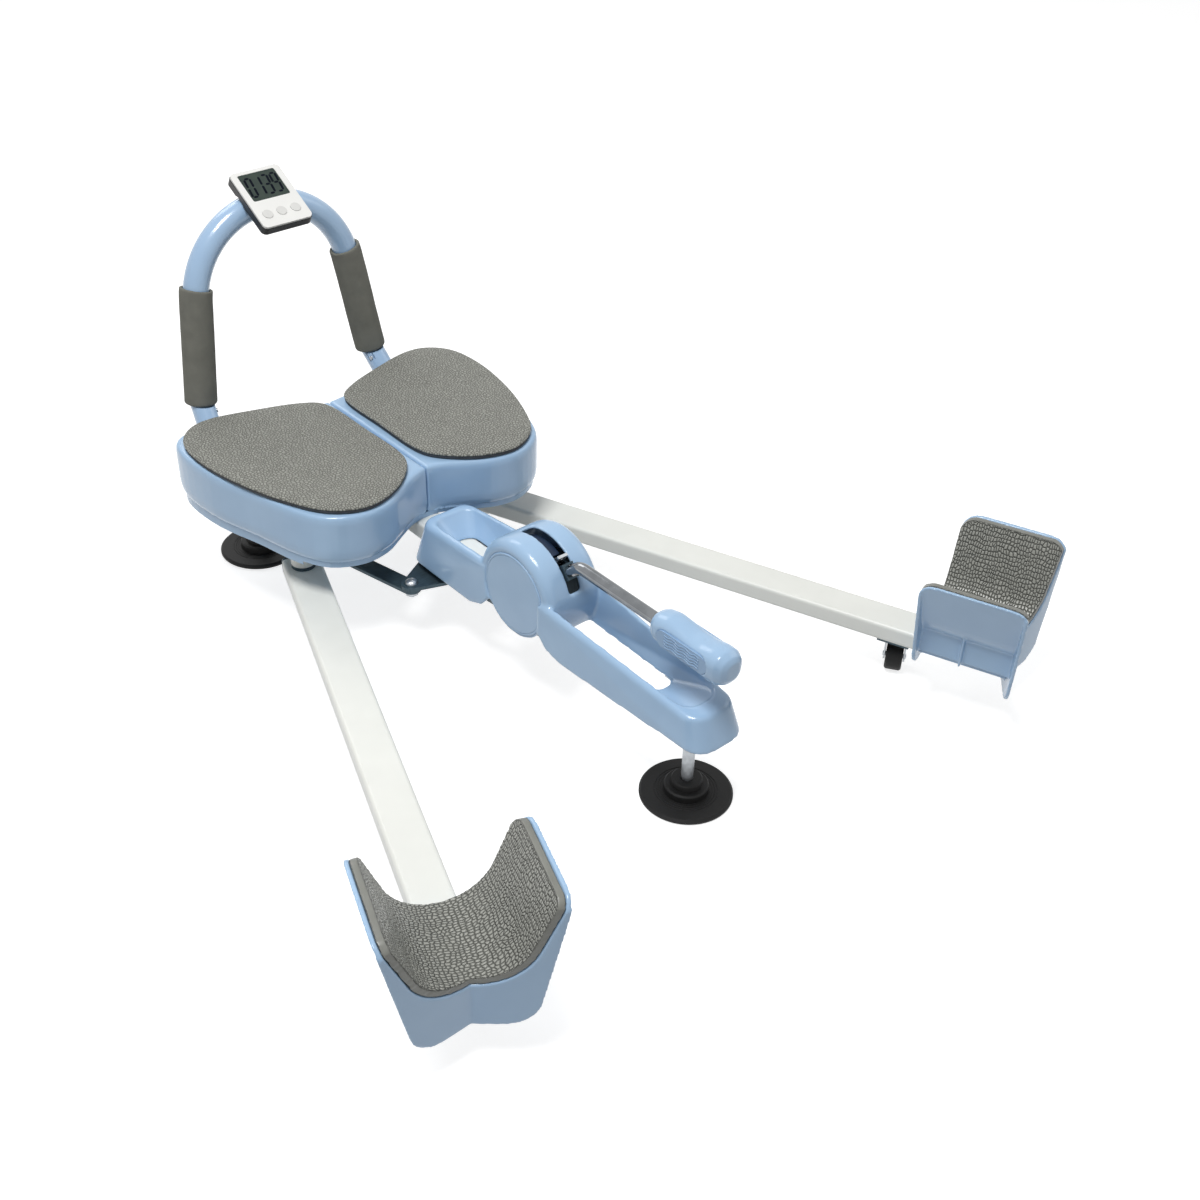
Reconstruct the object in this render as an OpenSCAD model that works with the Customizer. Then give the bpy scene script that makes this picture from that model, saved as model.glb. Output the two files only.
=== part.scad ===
// Leg stretching machine: a padded seat, two swinging legs with calf cups, and a ratchet
// lever whose gears draw a crosshead forward and so spread the legs.
// Millimetres, +Z up, +Y towards the handlebar, +X towards the right cup.
// The origin is the centre of the front foot's sole, on the floor.

/* [Feet] */
// Diameter of each rubber foot
foot_d = 90; // [70:1:100]
// Thickness of the foot's flange
foot_t = 5; // [4:0.5:8]
// Diameter of the levelling rods
rod_d = 11.8; // [10:0.2:12]
// Half distance between the two rear feet
rear_foot_x = 93; // [80:1:110]
// Distance of the rear feet behind the front foot
rear_foot_y = 611; // [600:1:620]

/* [Frame] */
// Width of the rail and beam tubes
rail_w = 30; // [26:1:32]
// Height of the rail and beam tubes
rail_h = 20; // [16:1:24]
// Height of the tubes' underside above the floor
rail_z = 87; // [87:0.5:90]
// Wall of the rail and beam tubes
rail_wall = 2; // [1.5:0.5:3]
// Front end of the middle rail
rail_front_y = 300; // [298:1:304]
// Half length of the rear cross tube
cross_half = 140; // [138:1:144]
// Half distance between the side plates in the housing
plate_x = 27; // [26.5:0.25:27.5]
// Thickness of the side plates
plate_t = 3; // [2:0.5:3]

/* [Legs] */
// Angle of each leg from straight ahead, as photographed
leg_angle = 20.7; // [12:0.1:30]
// Half distance between the leg pivots
pivot_x = 123; // [118:1:130]
// Distance of the leg pivots behind the front foot
pivot_y = 463.4; // [460:0.2:468]
// Width of the leg tubes
leg_w = 40; // [36:1:42]
// Height of the leg tubes
leg_h = 20; // [18:1:25]
// Height of the leg tubes' top above the floor
leg_top = 68; // [66:0.5:69]
// Wall of the leg tubes
leg_wall = 2; // [1.5:0.5:3]
// Length of the leg tube from its pivot
leg_reach = 600; // [580:1:602]
// Diameter of the leg pivot bolts
pivot_bolt_d = 12; // [10:0.5:14]

/* [Linkage] */
// Sideways distance of the drag pin from the leg pivot
crank_x = 38; // [37:0.5:39]
// Diameter of the drag pins
drag_pin_d = 8; // [7:0.5:9]
// Room on each side of the drag pin in its slot
slot_room = 1.6; // [1.6:0.1:1.8]
// Crosshead travel for each radian of leg swing
travel_rate = 43.4; // [43.2:0.1:43.6]
// Half distance between the crosshead bolts
cross_bolt_x = 57; // [54:0.5:60]
// Distance of the crosshead bolts behind the front foot
cross_bolt_y = 360; // [357:1:363]
// Diameter of the crosshead bolts
cross_bolt_d = 8; // [6:0.5:9]
// Thickness of the flat steel links, cranks and crosshead plate
flat_t = 4; // [3:0.5:4.5]
// Diameter of the crosshead's guide rod
guide_d = 10; // [8:0.5:10]

/* [Drive] */
// Distance of the hub axle behind the front foot
hub_y = 219.2; // [217:0.2:222]
// Height of the hub axle
hub_z = 124.8; // [124:0.1:126]
// Diameter of the hub axle
axle_d = 12; // [10:0.5:12]
// Module of the rack and the drive gears
gear_m = 2.5; // [2.5]
// Teeth that a full drive gear would have
gear_teeth = 34; // [34]
// Teeth of the ratchet wheel
ratchet_teeth = 20; // [16:1:24]
// Outer radius of the ratchet wheel
ratchet_r = 36; // [32:1:38]
// Diameter of the lever's chrome rod
lever_rod_d = 12.7; // [11:0.1:13]
// Angle at which the lever leaves the hub, above straight ahead
lever_angle = 40; // [36:1:44]
// Height of the lever's straight run
lever_z = 174.5; // [172:0.1:180]

/* [Housing] */
// Radius of the housing's round hub
hub_r = 57; // [56:0.5:58]
// Half width across the hub's flat covers
hub_half = 34; // [33.5:0.5:35]
// Radius of the hub covers
cap_r = 44; // [42:0.5:45]
// Wall of the moulded housing
shell_t = 2.6; // [2:0.1:2.8]
// Half width of the slot that the lever moves in
slot_half = 7; // [7:0.1:7.4]
// Height of the housing's lower edge at its front
front_edge_z = 86; // [84:0.5:88]
// Height of the housing's lower edge at its rear
rear_edge_z = 79; // [78.5:0.5:81]

/* [Seat] */
// Height of the seat shells' lower edge
seat_low = 113; // [111:0.5:115]
// Height of the seat shells' top
seat_top = 169; // [165:1:172]
// Wall of the seat shells
seat_wall = 3; // [2:0.5:4]
// Thickness of the seat pads at their middle
pad_t = 8; // [6:0.5:10]

/* [Handlebar] */
// Diameter of the handlebar tube
bar_d = 28; // [25:0.5:30]
// Diameter of the handlebar's lower tubes
low_bar_d = 26; // [24:0.5:27]
// Wall of the handlebar tubes
bar_wall = 2; // [1.5:0.5:2.5]
// Radius of the arch, to the middle of the tube
arch_r = 97.9; // [90:0.1:105]
// Outer diameter of the foam grips
foam_d = 36; // [34:0.5:40]

/* [Timer] */
// Width of the timer
timer_w = 61; // [56:1:66]
// Length of the timer up its face
timer_l = 78; // [72:1:82]
// Thickness of the timer
timer_t = 11; // [9:0.5:13]
// Tilt of the timer's face above level
timer_tilt = 29.4; // [20:0.1:35]

/* [Cups] */
// Distance from the leg pivot to the near end of a cup
cup_near = 528; // [526:1:532]
// Distance from the leg pivot to the far end of a cup's lobes
cup_far = 636; // [632:1:640]
// Depth of the crease between the two lobes of a cup's far end
crease = 23; // [18:1:26]
// Height of the cups' upper edges
cup_top = 168; // [165:1:172]
// Height of the trough's lowest line, on the liner
trough_z = 89; // [87:0.5:92]
// Thickness of the cup liners
liner_t = 6.6; // [5:0.2:8]
// Wall of the cup shells
cup_wall = 3.6; // [3:0.1:4.5]
// Height of the cups' lower edge
cup_low = 52; // [48:0.5:54]
// Height of the lower edge of a cup's lobed far end
lobe_low = 37; // [34:0.5:44]

/* [Casters] */
// Diameter of the caster wheels
wheel_d = 32; // [30:0.5:34]
// Width of the caster wheels
wheel_w = 18; // [12:0.5:20]
// Distance from the leg pivot to the caster's swivel
caster_at = 499; // [480:1:500]
// Direction in which the casters trail, from straight ahead
caster_turn = -123.8; // [-180:0.1:180]

/* [Hidden] */
$fn = 64;

// Clearances
fit = 0.05;    // running fit, on the radius
gap = 0.3;     // between a moving flat and its neighbour, and round a soft part
snug = 0.15;   // between fixed pieces that slip together

blue = "#A9C4E4";
grey = "#80807A";
steel = "#3E4F57";
zinc = "#B9BDC1";

// Points of an arc round (cx, cy), from angle a to angle b
function arc(cx, cy, r, a, b, n) = [for (i = [0:n]) let (t = a + (b - a) * i / n) [cx + r * cos(t), cy + r * sin(t)]];

// A closed smooth curve through the points p, with n steps between each two
function smooth(p, n) = [for (i = [0:len(p) - 1], k = [0:n - 1])
    let (m = len(p), a = p[(i + m - 1) % m], b = p[i], c = p[(i + 1) % m], d = p[(i + 2) % m], t = k / n)
    0.5 * (2 * b + (c - a) * t + (2 * a - 5 * b + 4 * c - d) * t * t + (3 * b - a - 3 * c + d) * t * t * t)];

function mean(p) = [for (k = [0:1]) [for (q = p) q[k]] * [for (q = p) 1] / len(p)];

// Moves an outline's points inwards by d, towards its centre
function shrink(p, d) = let (c = mean(p)) [for (q = p) let (v = q - c) q - v / norm(v) * d];

// The same outline drawn the other way round
function turned(p) = [for (i = [len(p) - 1:-1:0]) p[i]];

// A solid through rings of equal point counts, each ring a list of 3-D points, clockwise from above
module loft(rings) {
    n = len(rings[0]);
    m = len(rings);
    polyhedron(
        points = [for (r = rings, q = r) q],
        faces = concat(
            [[for (i = [n - 1:-1:0]) i]],
            [for (j = [0:m - 2], i = [0:n - 1]) [j * n + i, j * n + (i + 1) % n, (j + 1) * n + (i + 1) % n]],
            [for (j = [0:m - 2], i = [0:n - 1]) [j * n + i, (j + 1) * n + (i + 1) % n, (j + 1) * n + i]],
            [[for (i = [0:n - 1]) (m - 1) * n + i]]));
}

module pin_x(r, x0, x1) { translate([x0, 0, 0]) rotate([0, 90, 0]) cylinder(r = r, h = x1 - x0); }

module rounded(w, h, r) {
    square([w - 2 * r, h], center = true);
    square([w, h - 2 * r], center = true);
    for (x = [-1, 1], y = [-1, 1]) translate([x * (w / 2 - r), y * (h / 2 - r)]) circle(r);
}

module capsule(len, r) {
    translate([0, -r]) square([len, 2 * r]);
    circle(r);
    translate([len, 0]) circle(r);
}

module tube_section(w, h, wall, r) {
    difference() {
        rounded(w, h, r);
        rounded(w - 2 * wall, h - 2 * wall, max(r - wall, 0.5));
    }
}

// Mirrors a right-hand piece for the left side
module side(s) { if (s < 0) mirror([1, 0, 0]) children(); else children(); }

// Places a piece that is drawn with the leg along -Y and its pivot at the origin
module on_leg(s) { side(s) translate([pivot_x, pivot_y, 0]) rotate([0, 0, leg_angle]) children(); }

// Frame

rail_top = rail_z + rail_h;
cross_tube_y = rear_foot_y;
cross_front = cross_tube_y - rail_w / 2;

module main_rail() {
    color("white")
    translate([0, rail_front_y, rail_z + rail_h / 2]) rotate([-90, 0, 0])
        linear_extrude(cross_front - rail_front_y) tube_section(rail_w, rail_h, rail_wall, 3);
}

beam_end = pivot_x + 19;
spacer_r = 13;

module pivot_beam() {
    color("white")
    for (s = [-1, 1]) side(s) difference() {
        union() {
            translate([rail_w / 2, pivot_y, rail_z + rail_h / 2]) rotate([90, 0, 90])
                linear_extrude(beam_end - rail_w / 2) tube_section(rail_w, rail_h, rail_wall, 3);
            translate([pivot_x, pivot_y, spacer_z]) cylinder(r = spacer_r, h = rail_z - spacer_z);
        }
        translate([pivot_x, pivot_y, spacer_z - 1]) cylinder(d = pivot_bolt_d + 2 * fit, h = rail_top - spacer_z + 2);
    }
}

module rear_cross_tube() {
    color("white")
    difference() {
        union() {
            translate([-cross_half, cross_tube_y, rail_z + rail_h / 2]) rotate([90, 0, 90])
                linear_extrude(2 * cross_half) tube_section(rail_w, rail_h, rail_wall, 3);
            for (x = [-1, 1]) translate([x * rear_foot_x, rear_foot_y, rail_z - 9])
                cylinder(d = 22, h = 9, $fn = 6);
        }
        for (x = [-1, 1]) translate([x * rear_foot_x, rear_foot_y, rail_z - 20])
            cylinder(d = rod_d + 2 * fit, h = rail_h + 40);
    }
}

spacer_y0 = rail_front_y + 4;
spacer_y1 = rail_front_y + 38;
bolt_rows = [rail_front_y + 12, rail_front_y + 30];
cross_bolt_r = 4;
bolt_head_t = 2.4;

module plate_fixings() {
    color(zinc) {
        for (s = [-1, 1]) side(s)
            translate([rail_w / 2, spacer_y0, rail_z + 2]) cube([plate_x - rail_w / 2, spacer_y1 - spacer_y0, rail_h - 6]);
        for (y = bolt_rows, s = [-1, 1]) side(s) translate([0, y, rail_z + rail_h / 2]) {
            pin_x(cross_bolt_r, plate_x - 1, plate_x + plate_t);
            pin_x(6, plate_x + plate_t, plate_x + plate_t + bolt_head_t, $fn = 6);
        }
    }
}

plate_z0 = 96;
plate_z1 = 106;
plate_front = 46;
prong_end = 62;

// Side plate outline, with its first axis along Y and its second along Z
module plate_outline() {
    translate([plate_front, plate_z0]) square([hub_y - plate_front, plate_z1 - plate_z0]);
    translate([hub_y, hub_z]) circle(26);
    polygon([[hub_y - 24, plate_z0], [hub_y + 60, rail_z + 1], [spacer_y1, rail_z + 1],
             [spacer_y1, rail_top - 1], [hub_y + 20, rail_top - 1]]);
}

module frame_plates() {
    color(steel)
    for (s = [-1, 1]) side(s) difference() {
        translate([plate_x, 0, 0]) rotate([90, 0, 90]) linear_extrude(plate_t) plate_outline();
        translate([0, hub_y, hub_z]) pin_x(bush_r, plate_x - 1, plate_x + plate_t + 1);
        for (y = bolt_rows) translate([0, y, rail_z + rail_h / 2]) pin_x(cross_bolt_r + snug, plate_x - 1, plate_x + plate_t + 1);
    }
}

block_z0 = 91;
block_z1 = 103.5;
block_half = 23;

module toe_block() {
    color(zinc)
    difference() {
        union() {
            translate([0, 0, block_z0]) linear_extrude(block_z1 - block_z0)
                polygon([[-block_half, -14], [block_half, -14], [plate_x, plate_front - 14], [plate_x, prong_end],
                         [plate_x - 3, prong_end], [plate_x - 4, plate_front - 20], [4 - plate_x, plate_front - 20],
                         [3 - plate_x, prong_end], [-plate_x, prong_end], [-plate_x, plate_front - 14]]);
            translate([0, 0, block_z0 - 4]) cylinder(d = 22, h = 5);
        }
        translate([0, 0, block_z0 - 10]) cylinder(d = rod_d + 2 * fit, h = 30);
    }
}

// Feet

module foot_rod(top) { color(zinc) translate([0, 0, foot_t + 2]) cylinder(d = rod_d, h = top - foot_t - 2); }

foot_hub_r = foot_d * 0.245;
foot_neck_r = rod_d / 2 + 9;

module foot_pad() {
    color("#1A1A1A")
    difference() {
        rotate_extrude() polygon([[0, 0], [foot_d / 2 - 1, 0], [foot_d / 2, 1], [foot_d / 2, foot_t - 2],
            [foot_d / 2 - 2, foot_t], [foot_hub_r, foot_t + 0.5], [foot_hub_r - 0.5, foot_t + 7], [foot_hub_r - 2, foot_t + 8.5],
            [foot_neck_r + 0.5, foot_t + 8.5], [foot_neck_r, foot_t + 14], [foot_neck_r - 1, foot_t + 15], [0, foot_t + 15]]);
        translate([0, 0, foot_t + 2]) cylinder(d = rod_d + 2 * snug, h = 20);
    }
}

module front_foot_rod() { foot_rod(block_z1 - 0.5); }
module front_foot_pad() { foot_pad(); }
module rear_foot_rod_left() { translate([-rear_foot_x, rear_foot_y, 0]) foot_rod(rail_top - rail_wall - 1); }
module rear_foot_pad_left() { translate([-rear_foot_x, rear_foot_y, 0]) foot_pad(); }
module rear_foot_rod_right() { translate([rear_foot_x, rear_foot_y, 0]) foot_rod(rail_top - rail_wall - 1); }
module rear_foot_pad_right() { translate([rear_foot_x, rear_foot_y, 0]) foot_pad(); }

// Legs

leg_low = leg_top - leg_h;
bush_wall = 3;
crank_top = leg_top + flat_t;
spacer_z = crank_top + gap;
leg_tail = 16;

module leg_tube(s) {
    color("white")
    on_leg(s) difference() {
        translate([0, leg_tail, leg_top - leg_h / 2]) rotate([90, 0, 0])
            linear_extrude(leg_tail + leg_reach) tube_section(leg_w, leg_h, leg_wall, 4);
        translate([0, 0, leg_low - 1]) cylinder(d = pivot_bolt_d + 2 * bush_wall, h = leg_h + 2);
    }
}
module leg_tube_left() { leg_tube(-1); }
module leg_tube_right() { leg_tube(1); }

// The legs' angles when closed and when fully spread, and the crank's place halfway between them
leg_closed = 12;
leg_spread = 89;
crank_rest = (leg_closed + leg_spread) / 2 - leg_angle;
crank_span = (leg_spread - leg_closed) / 2;
slot_end = crank_x / cos(crank_span) + 1;
slot_start = crank_x - 1;
slot_r = drag_pin_d / 2 + slot_room;
crank_r = slot_r + 5.5;

// Crank, pivot bush, end plug and caster plate of one leg
module leg_fittings(s) {
    on_leg(s) {
        color(steel) difference() {
            translate([0, 0, leg_top]) rotate([0, 0, 180 - crank_rest - leg_angle]) linear_extrude(flat_t) difference() {
                union() {
                    capsule(slot_end, crank_r);
                    circle(spacer_r);
                }
                translate([slot_start, 0]) capsule(slot_end - slot_start, slot_r);
            }
            translate([0, 0, leg_top - 1]) cylinder(d = pivot_bolt_d + 2 * fit, h = flat_t + 2);
        }
        color("#C8A45A") difference() {
            translate([0, 0, leg_low]) cylinder(d = pivot_bolt_d + 2 * bush_wall, h = leg_h);
            translate([0, 0, leg_low - 1]) cylinder(d = pivot_bolt_d + 2 * fit, h = leg_h + 2);
        }
        color("#2B2D2F") translate([0, leg_tail, leg_top - leg_h / 2]) rotate([90, 0, 0]) {
            translate([0, 0, -3]) linear_extrude(3) rounded(leg_w, leg_h, 4);
            linear_extrude(8) rounded(leg_w - 2 * leg_wall - 0.4, leg_h - 2 * leg_wall - 0.4, 2);
        }
        color(zinc) difference() {
            translate([0, -caster_at, leg_low - caster_plate_t / 2]) cube([34, 34, caster_plate_t], center = true);
            translate([0, -caster_at, leg_low - caster_plate_t - 1]) cylinder(r = king_r + fit, h = caster_plate_t + 2);
        }
    }
}
module leg_fittings_left() { leg_fittings(-1); }
module leg_fittings_right() { leg_fittings(1); }

bolt_head = 6;

module pivot_bolts() {
    color(zinc)
    for (s = [-1, 1]) side(s) translate([pivot_x, pivot_y, leg_low - gap]) {
        translate([0, 0, -bolt_head - 2]) cylinder(d = pivot_bolt_d + 8, h = bolt_head, $fn = 6);
        translate([0, 0, -2]) cylinder(d = pivot_bolt_d + 12, h = 2);
        cylinder(d = pivot_bolt_d, h = rail_top - leg_low + gap - 0.2);
    }
}

// Linkage

link_top = leg_top - gap;
link_low = link_top - flat_t;
drag_pin_y = pivot_y + travel_rate * crank_rest * PI / 180;
drag_pin_x = pivot_x - crank_x;
gear_r = gear_m * gear_teeth / 2;
rack_pitch_z = hub_z - gear_r;
rack_root_z = rack_pitch_z - 1.25 * gear_m;
rack_tip_z = rack_pitch_z + gear_m;
tooth_pitch = PI * gear_m;
gear_in = slot_half + 1;
gear_out = gear_in + 5;
rack_front = 203;
rack_teeth = 10;
play = 0.12;
block_len = 30;
block_y = cross_bolt_y + 15;
block_half_w = gear_in - 0.5;
guide_z = rail_z - 7.5;

// Rack outline, with its first axis along Y and its second along Z; a space lies under the hub at rest
module rack_outline() {
    translate([rack_front, crank_top]) square([block_y + block_len / 2 - rack_front, rack_root_z - crank_top]);
    for (i = [-1:rack_teeth]) let (y = hub_y + (i + 0.5) * tooth_pitch)
        polygon([[y - tooth_pitch / 4 - 1.25 * gear_m * tan(20) + play, rack_root_z - 0.01],
                 [y + tooth_pitch / 4 + 1.25 * gear_m * tan(20) - play, rack_root_z - 0.01],
                 [y + tooth_pitch / 4 - 0.95 * gear_m * tan(20) - play, rack_pitch_z + 0.95 * gear_m],
                 [y - tooth_pitch / 4 + 0.95 * gear_m * tan(20) + play, rack_pitch_z + 0.95 * gear_m]]);
}

module crosshead() {
    color(steel) {
        translate([0, 0, leg_top]) linear_extrude(flat_t) difference() {
            union() {
                polygon([[-28, cross_bolt_y - 22], [28, cross_bolt_y - 22], [cross_bolt_x + 4, cross_bolt_y - 10],
                         [cross_bolt_x, cross_bolt_y + 11], [28, cross_bolt_y + 27], [18, block_y + 20],
                         [-18, block_y + 20], [-28, cross_bolt_y + 27], [-cross_bolt_x, cross_bolt_y + 11],
                         [-cross_bolt_x - 4, cross_bolt_y - 10]]);
                for (x = [-1, 1]) translate([x * cross_bolt_x, cross_bolt_y]) circle(11);
            }
            for (x = [-1, 1]) translate([x * cross_bolt_x, cross_bolt_y]) circle(cross_bolt_d / 2 + snug);
        }
        for (s = [-1, 1]) side(s) translate([gear_in, 0, 0]) rotate([90, 0, 90]) linear_extrude(gear_out - gear_in) rack_outline();
        difference() {
            translate([-block_half_w - 0.5, block_y - block_len / 2, crank_top])
                cube([2 * block_half_w + 1, block_len, rail_z - gap - crank_top]);
            translate([0, block_y - block_len / 2 - 1, guide_z]) rotate([-90, 0, 0])
                cylinder(d = guide_d + 2 * fit, h = block_len + 2);
        }
    }
}

hanger_front = rail_front_y - 2;
hanger_rear = block_y + 26;
hanger_t = 4;

module guide_rod() {
    color(zinc) {
        translate([0, hanger_front + hanger_t, guide_z]) rotate([-90, 0, 0])
            cylinder(d = guide_d, h = hanger_rear - hanger_front - hanger_t);
        for (y = [hanger_front, hanger_rear])
            translate([-6.5, y, guide_z - 6.5]) cube([13, hanger_t, rail_z - guide_z + 6.5]);
        translate([-6.5, hanger_front, rail_z]) cube([13, rail_front_y - hanger_front, 12]);
    }
}

cross_head_h = 4;

// Button-head bolts through the crosshead and the links below it, each with a nut
module crosshead_bolts() {
    color(zinc)
    for (x = [-1, 1]) translate([x * cross_bolt_x, cross_bolt_y, 0]) {
        difference() {
            translate([0, 0, crank_top]) rotate_extrude()
                polygon([[0, 0], [6.5, 0], [6.5, 1.2], [5.6, 2.6], [4, 3.6], [2.5, cross_head_h], [0, cross_head_h]]);
            translate([0, 0, crank_top + 1.5]) cylinder(d = 5.5, h = cross_head_h, $fn = 6);
        }
        translate([0, 0, link_low - 6]) cylinder(d = cross_bolt_d, h = crank_top - link_low + 6);
        translate([0, 0, link_low - gap - 5]) cylinder(d = 14.4, h = 5, $fn = 6);
    }
}

link_r = 10;

module drag_link(s) {
    dx = drag_pin_x - cross_bolt_x;
    dy = drag_pin_y - cross_bolt_y;
    color(steel)
    side(s) translate([cross_bolt_x, cross_bolt_y, link_low]) rotate([0, 0, atan2(dy, dx)]) linear_extrude(flat_t) difference() {
        capsule(norm([dx, dy]), link_r);
        circle(cross_bolt_d / 2 + fit);
        translate([norm([dx, dy]), 0]) circle(drag_pin_d / 2 + snug);
    }
}
module drag_link_left() { drag_link(-1); }
module drag_link_right() { drag_link(1); }

// Pin fixed in the link and running in the slot of the leg's crank
module drag_pin(s) {
    color(zinc)
    side(s) translate([drag_pin_x, drag_pin_y, 0]) {
        translate([0, 0, link_low - 2.5]) cylinder(d = 13, h = 2.5);
        translate([0, 0, link_low - 0.5]) cylinder(d = drag_pin_d, h = crank_top + gap - link_low + 1);
        translate([0, 0, crank_top + gap]) cylinder(d = 2 * slot_r + 3, h = 1.5);
        translate([0, 0, crank_top + gap + 1]) cylinder(d = drag_pin_d, h = 4);
    }
}
module drag_pin_left() { drag_pin(-1); }
module drag_pin_right() { drag_pin(1); }

// Drive

bush_r = axle_d / 2 + 3;

module hub_axle() {
    color(zinc) translate([0, hub_y, hub_z]) {
        pin_x(axle_d / 2, 1 - cap_in, cap_in - 1);
        for (s = [-1, 1]) side(s) pin_x(axle_d / 2 + 2, slot_half + 0.2, gear_in);
    }
}

module axle_bushes() {
    color("#C8A45A")
    for (s = [-1, 1]) side(s) translate([0, hub_y, hub_z]) difference() {
        union() {
            pin_x(bush_r, plate_x, plate_x + plate_t);
            pin_x(bush_r + 2, plate_x - 1.5, plate_x);
        }
        pin_x(axle_d / 2 + fit, plate_x - 3, plate_x + plate_t + 1);
    }
}

base_r = gear_r * cos(20);
gear_tip_r = gear_r + 0.95 * gear_m;
gear_root_r = gear_r - 1.25 * gear_m;

// Angle by which an involute flank has turned from the base circle at radius r
function inv(r) = let (a = acos(base_r / r)) tan(a) * 180 / PI - a;

// One tooth with its middle at angle a, as points round the gear's centre
function tooth(a) = let (half = 90 / gear_teeth + inv(gear_r) - play / gear_r * 180 / PI, steps = 4)
    concat([[gear_root_r - 0.5, a - half]],
           [for (i = [0:steps]) let (r = base_r + 0.05 + (gear_tip_r - base_r - 0.05) * i / steps) [r, a - half + inv(r)]],
           [for (i = [steps:-1:0]) let (r = base_r + 0.05 + (gear_tip_r - base_r - 0.05) * i / steps) [r, a + half - inv(r)]],
           [[gear_root_r - 0.5, a + half]]);

sector_front = -2;
sector_rear = 10;

// Toothed sector with its first axis along Y and its second along Z; angle 0 points straight down
module sector_outline() {
    step = 360 / gear_teeth;
    difference() {
        union() {
            polygon(concat([[0, 0]], [for (i = [0:26]) let (a = -90 + (sector_front - 0.5 + (sector_rear - sector_front + 1) * i / 26) * step)
                gear_root_r * [cos(a), sin(a)]]));
            circle(13);
        }
        for (a = [-62, -28, 6]) translate([27 * cos(a + 10), 27 * sin(a + 10)]) circle(6);
    }
    for (i = [sector_front:sector_rear]) polygon([for (q = tooth(-90 + i * step)) q[0] * [cos(q[1]), sin(q[1])]]);
}

module drive_gears() {
    color("#8E959B")
    for (s = [-1, 1]) side(s) translate([0, hub_y, hub_z]) difference() {
        union() {
            translate([gear_in, 0, 0]) rotate([90, 0, 90]) linear_extrude(gear_out - gear_in) sector_outline();
            pin_x(11, gear_out, gear_out + 6);
        }
        pin_x(axle_d / 2, gear_in - 1, gear_out + 7);
    }
}

wheel_half = 4;

module ratchet_wheel() {
    step = 360 / ratchet_teeth;
    color("#6F767C")
    translate([0, hub_y, hub_z]) difference() {
        translate([-wheel_half, 0, 0]) rotate([90, 0, 90]) linear_extrude(2 * wheel_half)
            polygon([for (i = [0:ratchet_teeth - 1], q = [[ratchet_r - 5, 0], [ratchet_r, 0.12], [ratchet_r, 0.24]])
                q[0] * [cos((i + q[1]) * step), sin((i + q[1]) * step)]]);
        pin_x(axle_d / 2, -wheel_half - 1, wheel_half + 1);
    }
}

fork_in = wheel_half + 0.4;
fork_out = slot_half - 0.4;
neck_r = 50;
neck_half = 8;
head_r = 60;

// The pawl's pivot lies above the lever's neck, between two ears of the cheeks
pawl_pivot_r = ratchet_r + 8;
pawl_tip_r = hub_r - 1;
pawl_at = 17;
pawl_pin_r = 2;
ear_r = 5;
pawl_y = pawl_pivot_r * cos(pawl_at);
pawl_z = -pawl_pivot_r * sin(pawl_at);

// Two cheeks on the axle, joined past the ratchet wheel by the block that holds the rod
module lever_head() {
    color("#23303C")
    translate([0, hub_y, hub_z]) rotate([180 - lever_angle, 0, 0]) difference() {
        union() {
            for (s = [-1, 1]) side(s) translate([fork_in, 0, 0]) rotate([90, 0, 90]) linear_extrude(fork_out - fork_in) {
                circle(14);
                translate([0, -neck_half]) square([head_r, 2 * neck_half]);
                polygon([[pawl_y - 10, 1 - neck_half], [pawl_y + 10, 1 - neck_half], [pawl_y + 4, pawl_z - 3], [pawl_y - 4, pawl_z - 3]]);
                translate([pawl_y, pawl_z]) circle(ear_r);
            }
            translate([-fork_out, ratchet_r + 5, -neck_half]) cube([2 * fork_out, head_r - ratchet_r - 5, 2 * neck_half]);
            translate([0, pawl_y, pawl_z]) pin_x(pawl_pin_r, -fork_in - 1, fork_in + 1);
        }
        pin_x(axle_d / 2 + fit, -slot_half, slot_half);
        translate([0, neck_r, 0]) rotate([-90, 0, 0]) cylinder(d = lever_rod_d - 1.5, h = 20);
    }
}

shield_r = 48;
shield_span = 66;
shield_from = 180 - lever_angle - pawl_at - 6.7;

module slot_shield() {
    color("#0E1F38")
    translate([0, hub_y, hub_z]) rotate([90, 0, 90]) translate([0, 0, -slot_half + 0.5]) linear_extrude(2 * slot_half - 1)
        polygon(concat(arc(0, 0, shield_r, shield_from - shield_span, shield_from, 24),
                       arc(0, 0, shield_r - 2, shield_from, shield_from - shield_span, 24)));
}

bend_r = 22;
bend_y = hub_y - (lever_z - hub_z) / tan(lever_angle);
bend_len = bend_r * tan(lever_angle / 2);
grip_back = 51.4;
grip_front = -44.6;

// The rod's bend: its axis lies along X through this point, with the straight runs above and behind it
module rod_bend() { translate([0, bend_y - bend_len, lever_z - bend_r]) children(); }

module lever_rod() {
    low_run = (lever_z - hub_z) / sin(lever_angle) - bend_len - head_r;
    color("#C9CCCE") {
        rod_bend() rotate([-lever_angle, 0, 0]) translate([0, 0, bend_r]) rotate([-90, 0, 0]) {
            cylinder(d = lever_rod_d, h = low_run);
            cylinder(d = lever_rod_d - 1.5 - 2 * snug, h = low_run + head_r - neck_r);
        }
        rod_bend() rotate([90, 0, 90]) rotate([0, 0, 90 - lever_angle])
            rotate_extrude(angle = lever_angle) translate([bend_r, 0]) circle(d = lever_rod_d);
        rod_bend() translate([0, 0, bend_r]) rotate([90, 0, 0])
            cylinder(d = lever_rod_d, h = bend_y - bend_len - grip_front - 12);
    }
}

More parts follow.
